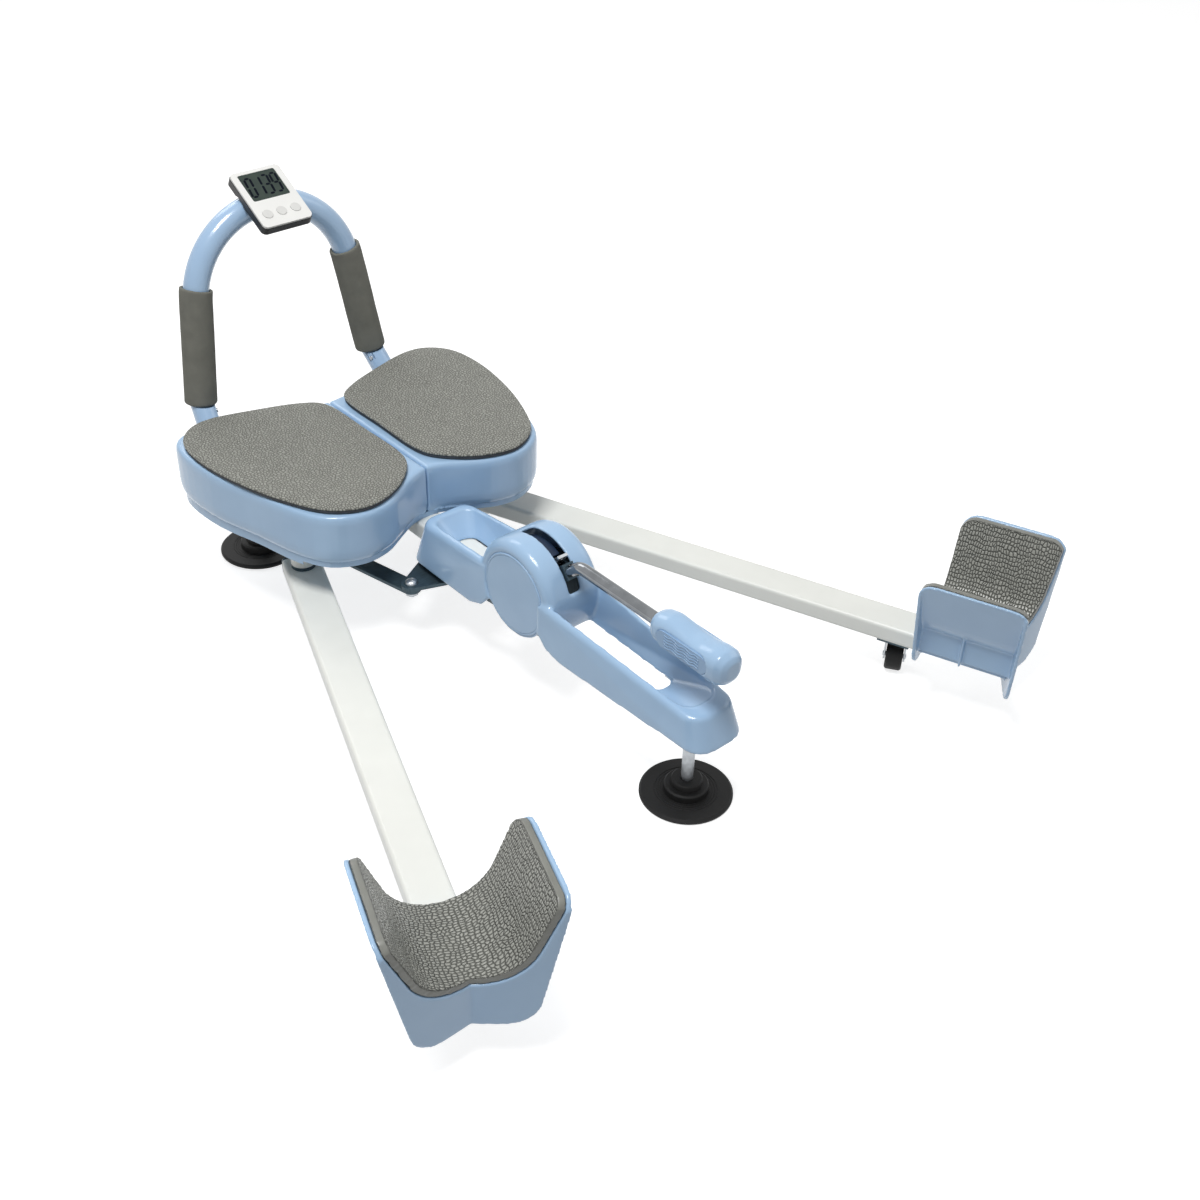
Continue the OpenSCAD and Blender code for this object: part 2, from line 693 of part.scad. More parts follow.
// Grip: half width, height above and depth below the rod at each station, from the hub side to the end
grip_rings = [[0, 8, 8, 8], [0.02, 12, 12, 12], [0.08, 15, 15, 14], [0.2, 16, 17.5, 16], [0.35, 16, 16, 17],
              [0.5, 16, 13.5, 17.5], [0.65, 16.5, 13.5, 18], [0.8, 17.5, 16, 19], [0.9, 17, 16, 18.5],
              [0.97, 13.5, 12.5, 15], [1, 8, 8, 10]];
grip_drop = 0;

module lever_grip() {
    color(blue)
    difference() {
        loft([for (g = grip_rings) [for (i = [0:27]) let (a = -360 * i / 28, c = cos(a), s = sin(a))
            [g[1] * sign(c) * pow(abs(c), 0.8), grip_back + (grip_front - grip_back) * g[0],
             lever_z - grip_drop + (s > 0 ? g[2] : g[3]) * sign(s) * pow(abs(s), 0.8)]]]);
        translate([0, grip_front + 12 - gap, lever_z]) rotate([-90, 0, 0]) cylinder(d = lever_rod_d + 2 * fit, h = 100);
        for (s = [-1, 1]) side(s) inlay_at(inlay_x, 10, 0.4);
    }
}

inlay_x = 13.6;
inlay_len = 46;
inlay_half = 9;

module inlay_at(x, depth, more) {
    translate([x, (grip_back + grip_front) / 2 - inlay_len / 2 + 2, lever_z - grip_drop - 1]) rotate([90, 0, 90])
        linear_extrude(depth) capsule(inlay_len, inlay_half + more);
}

module grip_inlay() { color("#93AFD2") for (s = [-1, 1]) side(s) inlay_at(inlay_x + 0.1, 2.1, 0); }

// Pawl between the lever's cheeks, just above the rod, with a drilled finger tab inside the slot
module pawl() {
    color("#D5D8DA")
    translate([0, hub_y, hub_z]) rotate([180 - lever_angle - pawl_at, 0, 0]) difference() {
        union() {
            translate([gap - fork_in, 0, 0]) rotate([90, 0, 90]) linear_extrude(2 * fork_in - 2 * gap) {
                translate([pawl_pivot_r, 0]) circle(4);
                polygon([[ratchet_r + 0.4, -3], [ratchet_r + 0.6, 3], [pawl_pivot_r + 3, 3], [pawl_tip_r, 3],
                         [pawl_tip_r, 0], [pawl_pivot_r + 3, -3]]);
            }
            translate([-slot_half + 1.2, pawl_tip_r - 5, 0]) cube([2 * slot_half - 2.4, 9, 3]);
        }
        translate([0, pawl_tip_r, -1]) cylinder(d = 4, h = 10);
        translate([0, pawl_pivot_r, 0]) pin_x(pawl_pin_r + fit, -fork_in, fork_in);
    }
}

// Housing

cap_in = hub_half - 3;
cap_rebate = 2.8;

// Rounded corner solid of the housing: round at the top edge by rim_r, corner radius r in plan
rim_r = 6;

module corner(x, y, z, r, rim) {
    translate([x, y, z - rim]) rotate_extrude($fn = 32)
        polygon(concat([[0, -1], [r, -1]], arc(r - rim, 0, rim, 0, 90, 5), [[0, rim]]));
}

// Hollow or full block between two end stations, each [y, half width below, half width above, lower edge,
// top, plan radius, how far its foot stands further out]
module block(a, b, less) {
    hull() for (q = [[a, 1], [b, -1]], x = [-1, 1]) let (p = q[0], r = max(p[5] - less, 1), y = p[0] + q[1] * p[5]) {
        corner(x * (p[2] - p[5]), y, p[4] - less, r, min(rim_r, r));
        translate([x * (p[1] - p[5]), y + p[6], p[3] - (less > 0 ? 10 : 0)]) cylinder(r = r, h = 2, $fn = 32);
    }
}

front_a = [-32, 32, 29, front_edge_z, 120, 20, -10];
front_b = [184, 38, 37, front_edge_z - 2, 139, 7, 0];
rear_a = [254, 37, 35, rear_edge_z, 139, 8, 0];
rear_b = [378, 36, 32, rear_edge_z, 131, 16, 13];

// Funnel through an arm: hull of the mouth at the rim and the hole below it
module funnel(mouth, hole, more) {
    hull() {
        for (q = [[0, 1], [1, -1]], x = [-1, 1]) {
            translate([x * (mouth[q[0]][1] - mouth[q[0]][3]), mouth[q[0]][0] + q[1] * mouth[q[0]][3], mouth[q[0]][2] - more])
                cylinder(r = mouth[q[0]][3] + more, h = 30, $fn = 32);
            translate([x * (hole[q[0]][1] - hole[q[0]][3]), hole[q[0]][0] + q[1] * hole[q[0]][3], hole[q[0]][2] - more])
                cylinder(r = hole[q[0]][3] + more, h = 1, $fn = 32);
        }
    }
}

front_mouth = [[-14, 22, 119, 18], [186, 31, 138, 6]];
front_hole = [[36, 12, 107, 11], [190, 23, 99, 4]];
rear_mouth = [[248, 28, 138, 4], [366, 24, 130, 14]];
rear_hole = [[262, 16, 105, 4], [346, 13, 107, 12]];

// The hole at a funnel's foot, straight down through everything below it
module drop(hole) {
    translate([0, 0, 70]) linear_extrude(hole[0][2] - 69.5) hull() for (q = [[0, 1], [1, -1]], x = [-1, 1])
        translate([x * (hole[q[0]][1] - hole[q[0]][3]), hole[q[0]][0] + q[1] * hole[q[0]][3]]) circle(hole[q[0]][3] - 0.1, $fn = 36);
}

// Hub profile from its axis outwards, rounded at both shoulders
function hub_profile(r, half, round, steps) = concat([[0, -half]],
    [for (p = arc(0, 0, 1, -90, 0, steps)) [r - round + round * p[0], -half + round + round * p[1]]],
    [for (p = arc(0, 0, 1, 0, 90, steps)) [r - round + round * p[0], half - round + round * p[1]]], [[0, half]]);

hub_round = 11;
hub_wall = 3.4;
slot_low = 17.7;
slot_high = 113;

module drive_housing() {
    color(blue)
    difference() {
        union() {
            difference() {
                union() {
                    block(front_a, front_b, 0);
                    block(rear_a, rear_b, 0);
                }
                difference() {
                    union() {
                        block(front_a, front_b, shell_t);
                        block(rear_a, rear_b, shell_t);
                    }
                    funnel(front_mouth, front_hole, shell_t);
                    funnel(rear_mouth, rear_hole, shell_t);
                }
                funnel(front_mouth, front_hole, 0);
                funnel(rear_mouth, rear_hole, 0);
                drop(front_hole);
                drop(rear_hole);
            }
            translate([0, hub_y, hub_z]) rotate([0, 90, 0]) rotate_extrude() polygon(hub_profile(hub_r, hub_half, hub_round, 7));
        }
        // hollow of the hub, open on both sides for the covers
        translate([0, hub_y, hub_z]) rotate([0, 90, 0]) rotate_extrude() polygon(hub_profile(hub_r - hub_wall, hub_half - hub_wall, hub_round - hub_wall, 3));
        translate([0, hub_y, hub_z]) pin_x(cap_r - 3, -hub_half - 1, hub_half + 1);
        for (s = [-1, 1]) side(s) translate([0, hub_y, hub_z]) pin_x(cap_r + snug, hub_half - cap_rebate, hub_half + 1);
        // lever slot
        translate([0, hub_y, hub_z]) rotate([90, 0, 90]) translate([0, 0, -slot_half]) linear_extrude(2 * slot_half)
            polygon(concat([[0, 0]], arc(0, 0, hub_r + 8, 180 - slot_high, 180 - slot_low, 20)));
        // ways for the racks, the side plates and the rail, open below
        translate([-gear_out - 2, 130, 40]) cube([2 * gear_out + 4, 210, rack_tip_z + 1.2 - 40]);
        // the sides' lower edges rise towards the hub, which ends below at the covers' rims
        rotate([90, 0, 90]) translate([0, 0, -60]) linear_extrude(120) difference() {
            polygon([[140, 60], [146, front_edge_z - 1.5], [158, 87], [168, 92], [175, 99], [181, 108], [hub_y + 36, 108],
                     [259, 97], [268, 86], [286, rear_edge_z + 0.5], [290, 60]]);
            translate([hub_y, hub_z]) circle(cap_r + 2.6, $fn = 90);
        }
        for (s = [-1, 1]) side(s) translate([plate_x - gap, plate_front - 1, 40])
            cube([plate_t + 2 * gap, spacer_y1 - plate_front + 4, plate_z1 + 1 - 40]);
        for (s = [-1, 1]) side(s) translate([plate_x, bolt_rows[0] - 8, 40])
            cube([plate_t + bolt_head_t + gap, bolt_rows[1] - bolt_rows[0] + 16, plate_z1 + 1 - 40]);
        translate([-rail_w / 2 - 1, 290, 40]) cube([rail_w + 2, 140, rail_top + 0.5 - 40]);
    }
}

module hub_caps() {
    color(blue)
    for (s = [-1, 1]) side(s) translate([0, hub_y, hub_z]) rotate([0, 90, 0]) rotate_extrude()
        polygon([[0, hub_half - cap_rebate], [cap_r - 6, hub_half - cap_rebate], [cap_r, hub_half - cap_rebate], [cap_r, hub_half - 0.8],
                 [cap_r - 0.8, hub_half], [cap_r - 2.2, hub_half], [cap_r - 2.6, hub_half - 0.6], [cap_r - 3, hub_half], [0, hub_half]]);
}

// Seat

// Right half of the seat, as points that its edge passes through, from the front seam round to the back seam
seat_edge = [[0.4, 405], [20, 400], [42, 388], [70, 373.5], [102, 371], [134, 387], [153, 421], [168, 478],
             [182, 535], [184, 590], [172, 620], [142, 627], [100, 616], [48, 599], [0.4, 591]];
pad_edge = [[9, 437], [24, 407], [56, 382], [95, 373], [131, 393], [154, 435], [171, 486],
            [181, 543], [178, 592], [158, 619], [128, 625.5], [80, 613], [34, 596], [11, 573], [9, 505]];

// A smooth curve through p from end to end, square to the seam at both ends
function smooth_half(p, n) = concat([for (i = [0:len(p) - 2], k = [0:n - 1])
    let (m = len(p), b = p[i], c = p[i + 1], t = k / n,
         a = i > 0 ? p[i - 1] : [-c[0], c[1]], d = i < m - 2 ? p[i + 2] : [-b[0], b[1]])
    0.5 * (2 * b + (c - a) * t + (2 * a - 5 * b + 4 * c - d) * t * t + (3 * b - a - 3 * c + d) * t * t * t)],
    [p[len(p) - 1]]);
seat_curve = turned(smooth_half(seat_edge, 4));
pad_curve = turned(smooth(pad_edge, 4));

// The seat's outline moved in by d, with its seam side kept at x = seam, at height z
function ring_at(p, d, z, seam) = let (q = shrink(p, d)) [for (i = [0:len(q) - 1])
    [i == 0 || i == len(q) - 1 ? seam : max(q[i][0], seam), q[i][1], z]];

seam_x = 0.4;

// Room behind the seat for the handlebar's lower tube
module bar_relief() { on_low_tube() cylinder(r = low_bar_r + gap, h = low_len + 10); }

module seat_shell() {
    color(blue)
    difference() {
        loft([for (q = [[4, 0], [1, 6], [0, 14]]) ring_at(seat_curve, q[0], seat_low + q[1], seam_x),
              for (q = [[0, 8], [1, 2.5], [3.5, 0]]) ring_at(seat_curve, q[0], seat_top - q[1], seam_x)]);
        translate([0, 0, seat_low - 1]) linear_extrude(seat_top - seat_low - seat_wall + 1)
            polygon([for (q = ring_at(seat_curve, seat_wall + 4, 0, seam_x + seat_wall)) [q[0], q[1]]]);
        bar_relief();
    }
}
module seat_shell_left() { side(-1) seat_shell(); }
module seat_shell_right() { seat_shell(); }

tray_t = seat_low - rail_top;

tray_in = 5;
lip_drop = 4;
lip_from = 148;

// Base plate under both shells, with a lip hanging down at the sides beyond the ends of the beams
module seat_tray() {
    color(blue) for (s = [-1, 1]) side(s) {
        difference() {
            translate([0, 0, rail_top]) linear_extrude(tray_t)
                polygon([for (q = ring_at(seat_curve, tray_in, 0, 0)) [q[0], q[1]]]);
            translate([100, 500, rail_top - 1]) cylinder(r = 30, h = tray_t + 2);
            bar_relief();
        }
        translate([0, 0, rail_top - lip_drop]) linear_extrude(lip_drop + 1) intersection() {
            difference() {
                polygon([for (q = ring_at(seat_curve, tray_in, 0, 0)) [q[0], q[1]]]);
                polygon([for (q = ring_at(seat_curve, tray_in + seat_wall, 0, 0)) [q[0], q[1]]]);
            }
            translate([lip_from, 300]) square([60, 400]);
        }
    }
}

// Pads: drawn in at the foot, full at the side and crowned on top
module seat_pad() {
    color(grey)
    loft([for (q = [[3, 0], [1.2, 0.12], [0, 0.35], [0.6, 0.55], [3, 0.72], [10, 0.86], [26, 0.96], [46, 1]])
        [for (p = shrink(pad_curve, q[0])) [p[0], p[1], seat_top + gap + q[1] * pad_t]]]);
}
module seat_pad_left() { side(-1) seat_pad(); }
module seat_pad_right() { seat_pad(); }

// Handlebar, drawn flat in its own plane and then leaned back

bar_lean = 5.9;
bar_splay = 7.87;
bar_foot_x = 112.8;
bar_foot_y = 672.2;
bar_foot_z = 169;
bar_r = bar_d / 2;

// Length of the straight leg from the foot of the grip to the arch, and the arch's centre above the foot
bar_straight = (bar_foot_x - arch_r * cos(bar_splay)) / sin(bar_splay);
arch_up = bar_straight * cos(bar_splay) - arch_r * sin(bar_splay);

module bar_plane() { translate([0, bar_foot_y, bar_foot_z]) rotate([90 - bar_lean, 0, 0]) children(); }

// In the bar's plane: the leg of side s, from its foot, drawn along +Z
module bar_leg(s) { side(s) translate([bar_foot_x, 0, 0]) rotate([0, 0, bar_splay]) rotate([-90, 0, 0]) children(); }

module handlebar() {
    color(blue)
    bar_plane() {
        difference() {
            translate([0, arch_up, 0]) rotate([0, 0, bar_splay]) rotate_extrude(angle = 180 - 2 * bar_splay)
                translate([arch_r, 0]) circle(bar_r);
            translate([0, arch_up, 0]) rotate([0, 0, bar_splay - 1]) rotate_extrude(angle = 182 - 2 * bar_splay)
                translate([arch_r, 0]) circle(bar_r - bar_wall);
        }
        for (s = [-1, 1]) bar_leg(s) difference() {
            cylinder(r = bar_r, h = bar_straight);
            translate([0, 0, -1]) cylinder(r = bar_r - bar_wall, h = bar_straight + 2);
        }
    }
}

// Below its grip each leg of the bar turns forward at a mitred joint and runs down to the rear cross tube
knee = 34;
low_shift = 2.5;
low_bar_r = low_bar_d / 2;

// The height that the lower tube loses for each millimetre of its length
low_fall = cos(knee) * cos(bar_splay) * cos(bar_lean) - sin(knee) * sin(bar_lean);
low_len = (bar_foot_z + low_shift * sin(bar_lean) - rail_z - 2) / low_fall;

// The lower tube's place below the grip, with Z down along it, X outwards and Y to the front
module on_low_tube() { bar_plane() bar_leg(1) translate([0, -low_shift, 0]) rotate([180 - knee, 0, 0]) children(); }

tongue_half = 3.4;
tongue_end = 15;
tongue_turn = -35;
slit = 1.2;

// Lower ends of the handlebar, notched to fit round the rear cross tube, each with a sprung tongue in its inner face
module bar_elbows() {
    color(blue)
    for (s = [-1, 1]) side(s) difference() {
        on_low_tube() translate([0, 0, -20]) cylinder(r = low_bar_r, h = low_len + 20);
        on_low_tube() translate([0, 0, -21]) cylinder(r = low_bar_r - bar_wall, h = low_len + 22);
        bar_plane() bar_leg(1) translate([-40, -40, -0.2]) cube([80, 80, 60]);
        translate([0, cross_front - 20, 0]) cube([300, rail_w + 20 + snug, rail_top + snug]);
        translate([0, 500, 0]) cube([300, 300, rail_z]);
        on_low_tube() rotate([0, 0, tongue_turn]) for (k = [-1, 1])
            translate([-low_bar_r - 1, k * tongue_half - slit / 2, 0]) cube([low_bar_r, slit, tongue_end]);
        snap_button(snap_r + snug);
    }
}

snap_r = 2.2;
snap_h = 1.2;
snap_seat = 0.2;

module snap_button(r) {
    on_low_tube() rotate([0, 0, tongue_turn])
        translate([-low_bar_r - snap_h, 0, tongue_end - 3.5]) rotate([0, 90, 0]) cylinder(r = r, h = snap_h + snap_seat);
}

// Buttons on the tongues
module snap_buttons() {
    color("#C9CCCE")
    for (s = [-1, 1]) side(s) snap_button(snap_r);
}

foam_bend = 8;

module foam_grip(s) {
    color("#75756D")
    bar_plane() {
        bar_leg(s) difference() {
            rotate_extrude() polygon([[0, 1], [foam_d / 2 - 1.5, 1], [foam_d / 2, 2.5], [foam_d / 2, bar_straight], [0, bar_straight]]);
            cylinder(r = bar_r + gap, h = bar_straight + 1);
        }
        side(s) difference() {
            translate([0, arch_up, 0]) rotate([0, 0, bar_splay]) rotate_extrude(angle = foam_bend) translate([arch_r, 0]) circle(foam_d / 2);
            translate([0, arch_up, 0]) rotate([0, 0, bar_splay - 1]) rotate_extrude(angle = foam_bend + 2) translate([arch_r, 0]) circle(bar_r + gap);
        }
    }
}
module foam_grip_left() { foam_grip(-1); }
module foam_grip_right() { foam_grip(1); }

// Timer, drawn with its face at z = 0 and x to the right, y up the face

apex_y = bar_foot_y + (arch_up + arch_r) * sin(bar_lean);
apex_z = bar_foot_z + (arch_up + arch_r) * cos(bar_lean);
clip_half = 10;
clip_play = 0.9;

// Depth that the arch sits in the case, and how far above the face's middle it passes
clip_depth = 1.72;
clip_up = 10.58;
timer_off = bar_r + timer_t - clip_depth;
timer_y = apex_y - timer_off * sin(timer_tilt) - clip_up * cos(timer_tilt);
timer_z = apex_z + timer_off * cos(timer_tilt) - clip_up * sin(timer_tilt);
face_t = 2.4;
window_w = 45;
window_h = 37;
window_up = 15.5;
button_r = 5.6;
button_row = -22;
button_step = 17;

module on_timer() { translate([0, timer_y, timer_z]) rotate([timer_tilt, 0, 0]) children(); }

module timer_case() {
    color("#17181A")
    on_timer() difference() {
        union() {
            translate([0, 0, -timer_t]) linear_extrude(timer_t - face_t) rounded(timer_w, timer_l, 6);
            translate([0, window_up, -face_t]) linear_extrude(face_t - 0.6) rounded(window_w - 0.4, window_h - 0.4, 2);
        }
        for (x = [-1, 0, 1]) translate([x * button_step, button_row, -face_t - 2]) cylinder(r = button_r + snug, h = 3);
        rotate([-timer_tilt, 0, 0]) translate([0, apex_y - timer_y, apex_z - timer_z])
            pin_x(bar_r + clip_play, -timer_w, timer_w);
    }
}

module timer_face() {
    color("#F0F0EE")
    on_timer() difference() {
        translate([0, 0, -face_t]) linear_extrude(face_t) rounded(timer_w - 1.2, timer_l - 1.2, 5.4);
        translate([0, window_up, -face_t - 1]) linear_extrude(face_t + 2) rounded(window_w, window_h, 2.2);
        for (x = [-1, 0, 1]) translate([x * button_step, button_row, -face_t - 1]) cylinder(r = button_r + snug, h = face_t + 2);
    }
}

module timer_button(k) {
    color("#F0F0EE")
    on_timer() translate([k * button_step, button_row, -face_t - 0.9]) cylinder(r = button_r, h = face_t + 1.5);
}
module timer_button_left() { timer_button(-1); }
module timer_button_middle() { timer_button(0); }
module timer_button_right() { timer_button(1); }

// Two jaws under the case that snap round the top of the arch
module timer_bracket() {
    color("#17181A")
    difference() {
        union() {
            translate([0, apex_y, apex_z]) pin_x(bar_r + 3, -clip_half, clip_half);
            intersection() {
                on_timer() translate([-clip_half, -30, -timer_t - 14]) cube([2 * clip_half, 64, 14]);
                translate([-clip_half, apex_y - 17, apex_z]) cube([2 * clip_half, 34, 40]);
            }
        }
        translate([0, apex_y, apex_z]) pin_x(bar_r + clip_play, -clip_half - 1, clip_half + 1);
        on_timer() translate([-clip_half - 1, -40, -timer_t]) cube([2 * clip_half + 2, 80, 40]);
        translate([-clip_half - 1, apex_y - 11, apex_z - 30]) cube([2 * clip_half + 2, 22, 24]);
    }
}

// Cups, drawn with the leg along -Y

trough_r = 48;
flank = 68;

// The trough's curve at distance d outside the liner's surface: bottom arc, then straight leaning flanks up to cup_top
function trough(d) = let (r = trough_r + d, c = trough_z + trough_r, x1 = r * sin(flank), z1 = c - r * cos(flank), k = (cup_top + 30 - z1) / tan(flank))
    concat([[-x1 - k, cup_top + 30]], arc(0, c, r, 270 - flank, 270 + flank, 20), [[x1 + k, cup_top + 30]]);

module trough_band(d0, d1) { difference() { polygon(trough(d1)); polygon(trough(d0)); } }

// Draws a shape of x and z, and carries it along the leg
module along_leg(from, to) { translate([0, -from, 0]) rotate([90, 0, 0]) linear_extrude(to - from) children(); }

lobe_at = 84;
function end_at(x, less) = cup_far - less - crease * pow(max(1 - abs(x) / lobe_at, 0), 1.45);

// Plan of a cup: straight near end, two lobes with a crease between them at the far end
module cup_plan(half, less) {
    polygon(concat([[-half, -cup_near - less], [half, -cup_near - less]],
        [for (i = [12:-1:-12]) let (x = half * i / 12) [x, -end_at(x, less)]]));
}

cup_half_top = 74;
cup_half_low = 50;
low_round = 20;
lobe_round = 28;

// Outline of the end plates, in x and z: leaning sides, a lower edge at height low and lower corners of radius r
module plate_shape(low, r) {
    polygon(concat([[-cup_half_top - 1, cup_top]], arc(-cup_half_low + r - 3, low + r, r, 192, 270, 8),
        arc(cup_half_low - r + 3, low + r, r, 270, 348, 8), [[cup_half_top + 1, cup_top]]));
}

corner_r = 17;

// Side view of a cup with its rounded upper corners, in y and z
module cup_side() {
    translate([-cup_far, 0]) square([cup_far - cup_near, cup_top - corner_r]);
    translate([-cup_far + corner_r, 0]) square([cup_far - cup_near - 2 * corner_r, cup_top]);
    for (y = [-cup_far + corner_r, -cup_near - corner_r]) translate([y, cup_top - corner_r]) circle(corner_r);
}

module cup_limits(half, less) {
    intersection() {
        linear_extrude(cup_top + 10) cup_plan(half, less);
        translate([-100, 0, 0]) rotate([90, 0, 90]) linear_extrude(200) cup_side();
    }
}

box_x = leg_w / 2 + gap;
box_low = leg_low + 4;
side_x = 41;
rib_x = 49;
side_low = leg_top + 1;
sheet = liner_t + gap;

module cup(s) {
    color(blue)
    on_leg(s) difference() {
        intersection() {
            cup_limits(cup_half_top + 2, 0);
            union() {
                along_leg(cup_near, cup_far) trough_band(sheet, sheet + cup_wall);
                along_leg(cup_near, cup_near + cup_wall) plate_shape(cup_low, low_round);
                intersection() {
                    linear_extrude(cup_top) difference() { cup_plan(90, 0); cup_plan(90, cup_wall); }
                    along_leg(cup_near + 40, cup_far) plate_shape(lobe_low, lobe_round);
                }
                for (x = [-1, 1]) {
                    translate([x * (box_x + cup_wall / 2) - cup_wall / 2, -cup_far, box_low]) cube([cup_wall, cup_far - cup_near, 60]);
                    translate([x * side_x - cup_wall / 2, -cup_far, side_low]) cube([cup_wall, cup_far - cup_near, 40]);
                }
                along_leg((cup_near + cup_far) / 2 - 8, (cup_near + cup_far) / 2 - 5.5)
                    translate([-70, leg_top + gap]) square([140, 110]);
            }
        }
        along_leg(cup_near - 1, cup_far + 1) polygon(trough(sheet));
        // way for the leg tube
        translate([-box_x, -leg_reach - gap, 0]) cube([2 * box_x, leg_reach - cup_near + 30, leg_top + gap]);
        // the middle rib stops short of the flanks' edges
        along_leg(cup_near + cup_wall, cup_far - crease - cup_wall) difference() {
            translate([-90, 0]) square([180, cup_top + 1]);
            polygon(concat(trough(sheet + cup_wall), [[0, cup_top + 30]]));
            translate([-rib_x, 0]) square([2 * rib_x, cup_top]);
        }
    }
}
module cup_left() { cup(-1); }
module cup_right() { cup(1); }

module cup_liner(s) {
    color(grey)
    on_leg(s) intersection() {
        cup_limits(cup_half_top + 2, 0.8);
        along_leg(cup_near, cup_far) trough_band(0, liner_t);
    }
}
module cup_liner_left() { cup_liner(-1); }
module cup_liner_right() { cup_liner(1); }

// Casters

caster_plate_t = 2.5;
king_r = 4;
trail = 7;
fork_t = 1.8;
fork_top = leg_low - caster_plate_t - 0.5;
wheel_r = wheel_d / 2;

module on_caster(s) {
    on_leg(s) translate([0, -caster_at, 0]) rotate([0, 0, -leg_angle - caster_turn]) children();
}

module caster_fork(s) {
    color(zinc)
    on_caster(s) {
        translate([0, 0, fork_top - 4]) cylinder(r = 10, h = 4);
        translate([0, 0, fork_top - 1]) cylinder(r = king_r, h = caster_plate_t + 1.5);
        for (x = [-1, 1]) translate([x * (wheel_w / 2 + 0.6 + fork_t / 2) - fork_t / 2, 0, 0]) rotate([90, 0, 90])
            linear_extrude(fork_t) {
                translate([-trail, wheel_r]) circle(6);
                polygon([[-trail - 6, wheel_r], [-trail + 6, wheel_r], [9, fork_top - 3], [9, fork_top], [-12, fork_top], [-14, fork_top - 6]]);
            }
        translate([-wheel_w / 2 - 0.6 - fork_t, -12, fork_top - 2]) cube([wheel_w + 1.2 + 2 * fork_t, 21, 2]);
        translate([0, -trail, wheel_r]) pin_x(2.5, -wheel_w / 2 - fork_t - 1.5, wheel_w / 2 + fork_t + 1.5);
    }
}
module caster_fork_left() { caster_fork(-1); }
module caster_fork_right() { caster_fork(1); }

module caster_wheel(s) {
    color("#1E1E1F")
    on_caster(s) translate([0, -trail, wheel_r]) rotate([0, 90, 0]) rotate_extrude()
        polygon([[2.5 + fit, -wheel_w / 2], [5, -wheel_w / 2], [5.5, -wheel_w / 2 + 1], [wheel_r - 4, -wheel_w / 2 + 1],
                 [wheel_r - 3, -wheel_w / 2], [wheel_r - 1.5, -wheel_w / 2 + 0.3], [wheel_r, -wheel_w / 2 + 2],
                 [wheel_r, wheel_w / 2 - 2], [wheel_r - 1.5, wheel_w / 2 - 0.3], [wheel_r - 3, wheel_w / 2],
                 [wheel_r - 4, wheel_w / 2 - 1], [5.5, wheel_w / 2 - 1], [5, wheel_w / 2], [2.5 + fit, wheel_w / 2]]);
}
module caster_wheel_left() { caster_wheel(-1); }
module caster_wheel_right() { caster_wheel(1); }

main_rail();
pivot_beam();
rear_cross_tube();
plate_fixings();
frame_plates();
toe_block();
guide_rod();
front_foot_rod();
front_foot_pad();
rear_foot_rod_left();
rear_foot_pad_left();
rear_foot_rod_right();
rear_foot_pad_right();
leg_tube_left();
leg_fittings_left();
leg_tube_right();
leg_fittings_right();
pivot_bolts();
crosshead();
crosshead_bolts();
drag_link_left();
drag_pin_left();
drag_link_right();
drag_pin_right();
hub_axle();
axle_bushes();
drive_gears();
ratchet_wheel();
lever_head();
slot_shield();
lever_rod();
lever_grip();
grip_inlay();
pawl();
drive_housing();
hub_caps();
seat_tray();
seat_shell_left();
seat_shell_right();
seat_pad_left();
seat_pad_right();
handlebar();
bar_elbows();
snap_buttons();
foam_grip_left();
foam_grip_right();
timer_bracket();
timer_case();
timer_face();
timer_button_left();
timer_button_middle();
timer_button_right();
cup_left();
cup_right();
cup_liner_left();
cup_liner_right();
caster_fork_left();
caster_wheel_left();
caster_fork_right();
caster_wheel_right();
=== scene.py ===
# %% [markdown]
# # A leg stretching machine
# The machine's frame arrives finished: tubes, plates, gears and pins are loaded as they are, and each
# moving part already hangs on its own body. This lesson dresses that frame. Rigid metal keeps its loaded
# shape and gets a finish. What was moulded, padded or foamed is made again as a softer, finer mesh.

# %% Load the frame and note its size
import bpy
import bmesh
import math
import numpy as np
from mathutils import Matrix, Vector


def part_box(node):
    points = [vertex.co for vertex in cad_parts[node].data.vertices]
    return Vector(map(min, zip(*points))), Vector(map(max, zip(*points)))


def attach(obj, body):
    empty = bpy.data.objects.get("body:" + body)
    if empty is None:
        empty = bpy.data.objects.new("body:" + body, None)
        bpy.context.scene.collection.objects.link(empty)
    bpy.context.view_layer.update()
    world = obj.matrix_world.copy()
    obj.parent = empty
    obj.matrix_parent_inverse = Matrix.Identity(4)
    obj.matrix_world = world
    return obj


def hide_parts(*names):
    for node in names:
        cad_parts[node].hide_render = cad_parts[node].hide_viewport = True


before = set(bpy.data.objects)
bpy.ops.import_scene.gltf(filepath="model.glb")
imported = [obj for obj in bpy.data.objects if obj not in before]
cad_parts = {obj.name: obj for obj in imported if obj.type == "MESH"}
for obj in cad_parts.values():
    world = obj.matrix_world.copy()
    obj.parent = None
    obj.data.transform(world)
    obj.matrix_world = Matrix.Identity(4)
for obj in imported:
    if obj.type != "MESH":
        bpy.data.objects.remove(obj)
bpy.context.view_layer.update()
MM = 0.001
SIDES = ("left", "right")

# %% [markdown]
# ## Camera
# The picture was taken from the left of the front foot, looking down at about 36 degrees. A camera is set
# by three directions: where it looks, what is up and what is right. Writing these three as the columns of
# its matrix places it exactly, with the slight roll that the photographer's hand gave it.

# %% Place the camera
AZIMUTH, ELEVATION, ROLL = (math.radians(a) for a in (-42.6, 35.8, 2.1))
CAMERA_AT = (-0.7978, -0.7373, 1.0030)
IMAGE_PX, FOCAL_PX, SENSOR_MM = 1200, 1538.2, 36

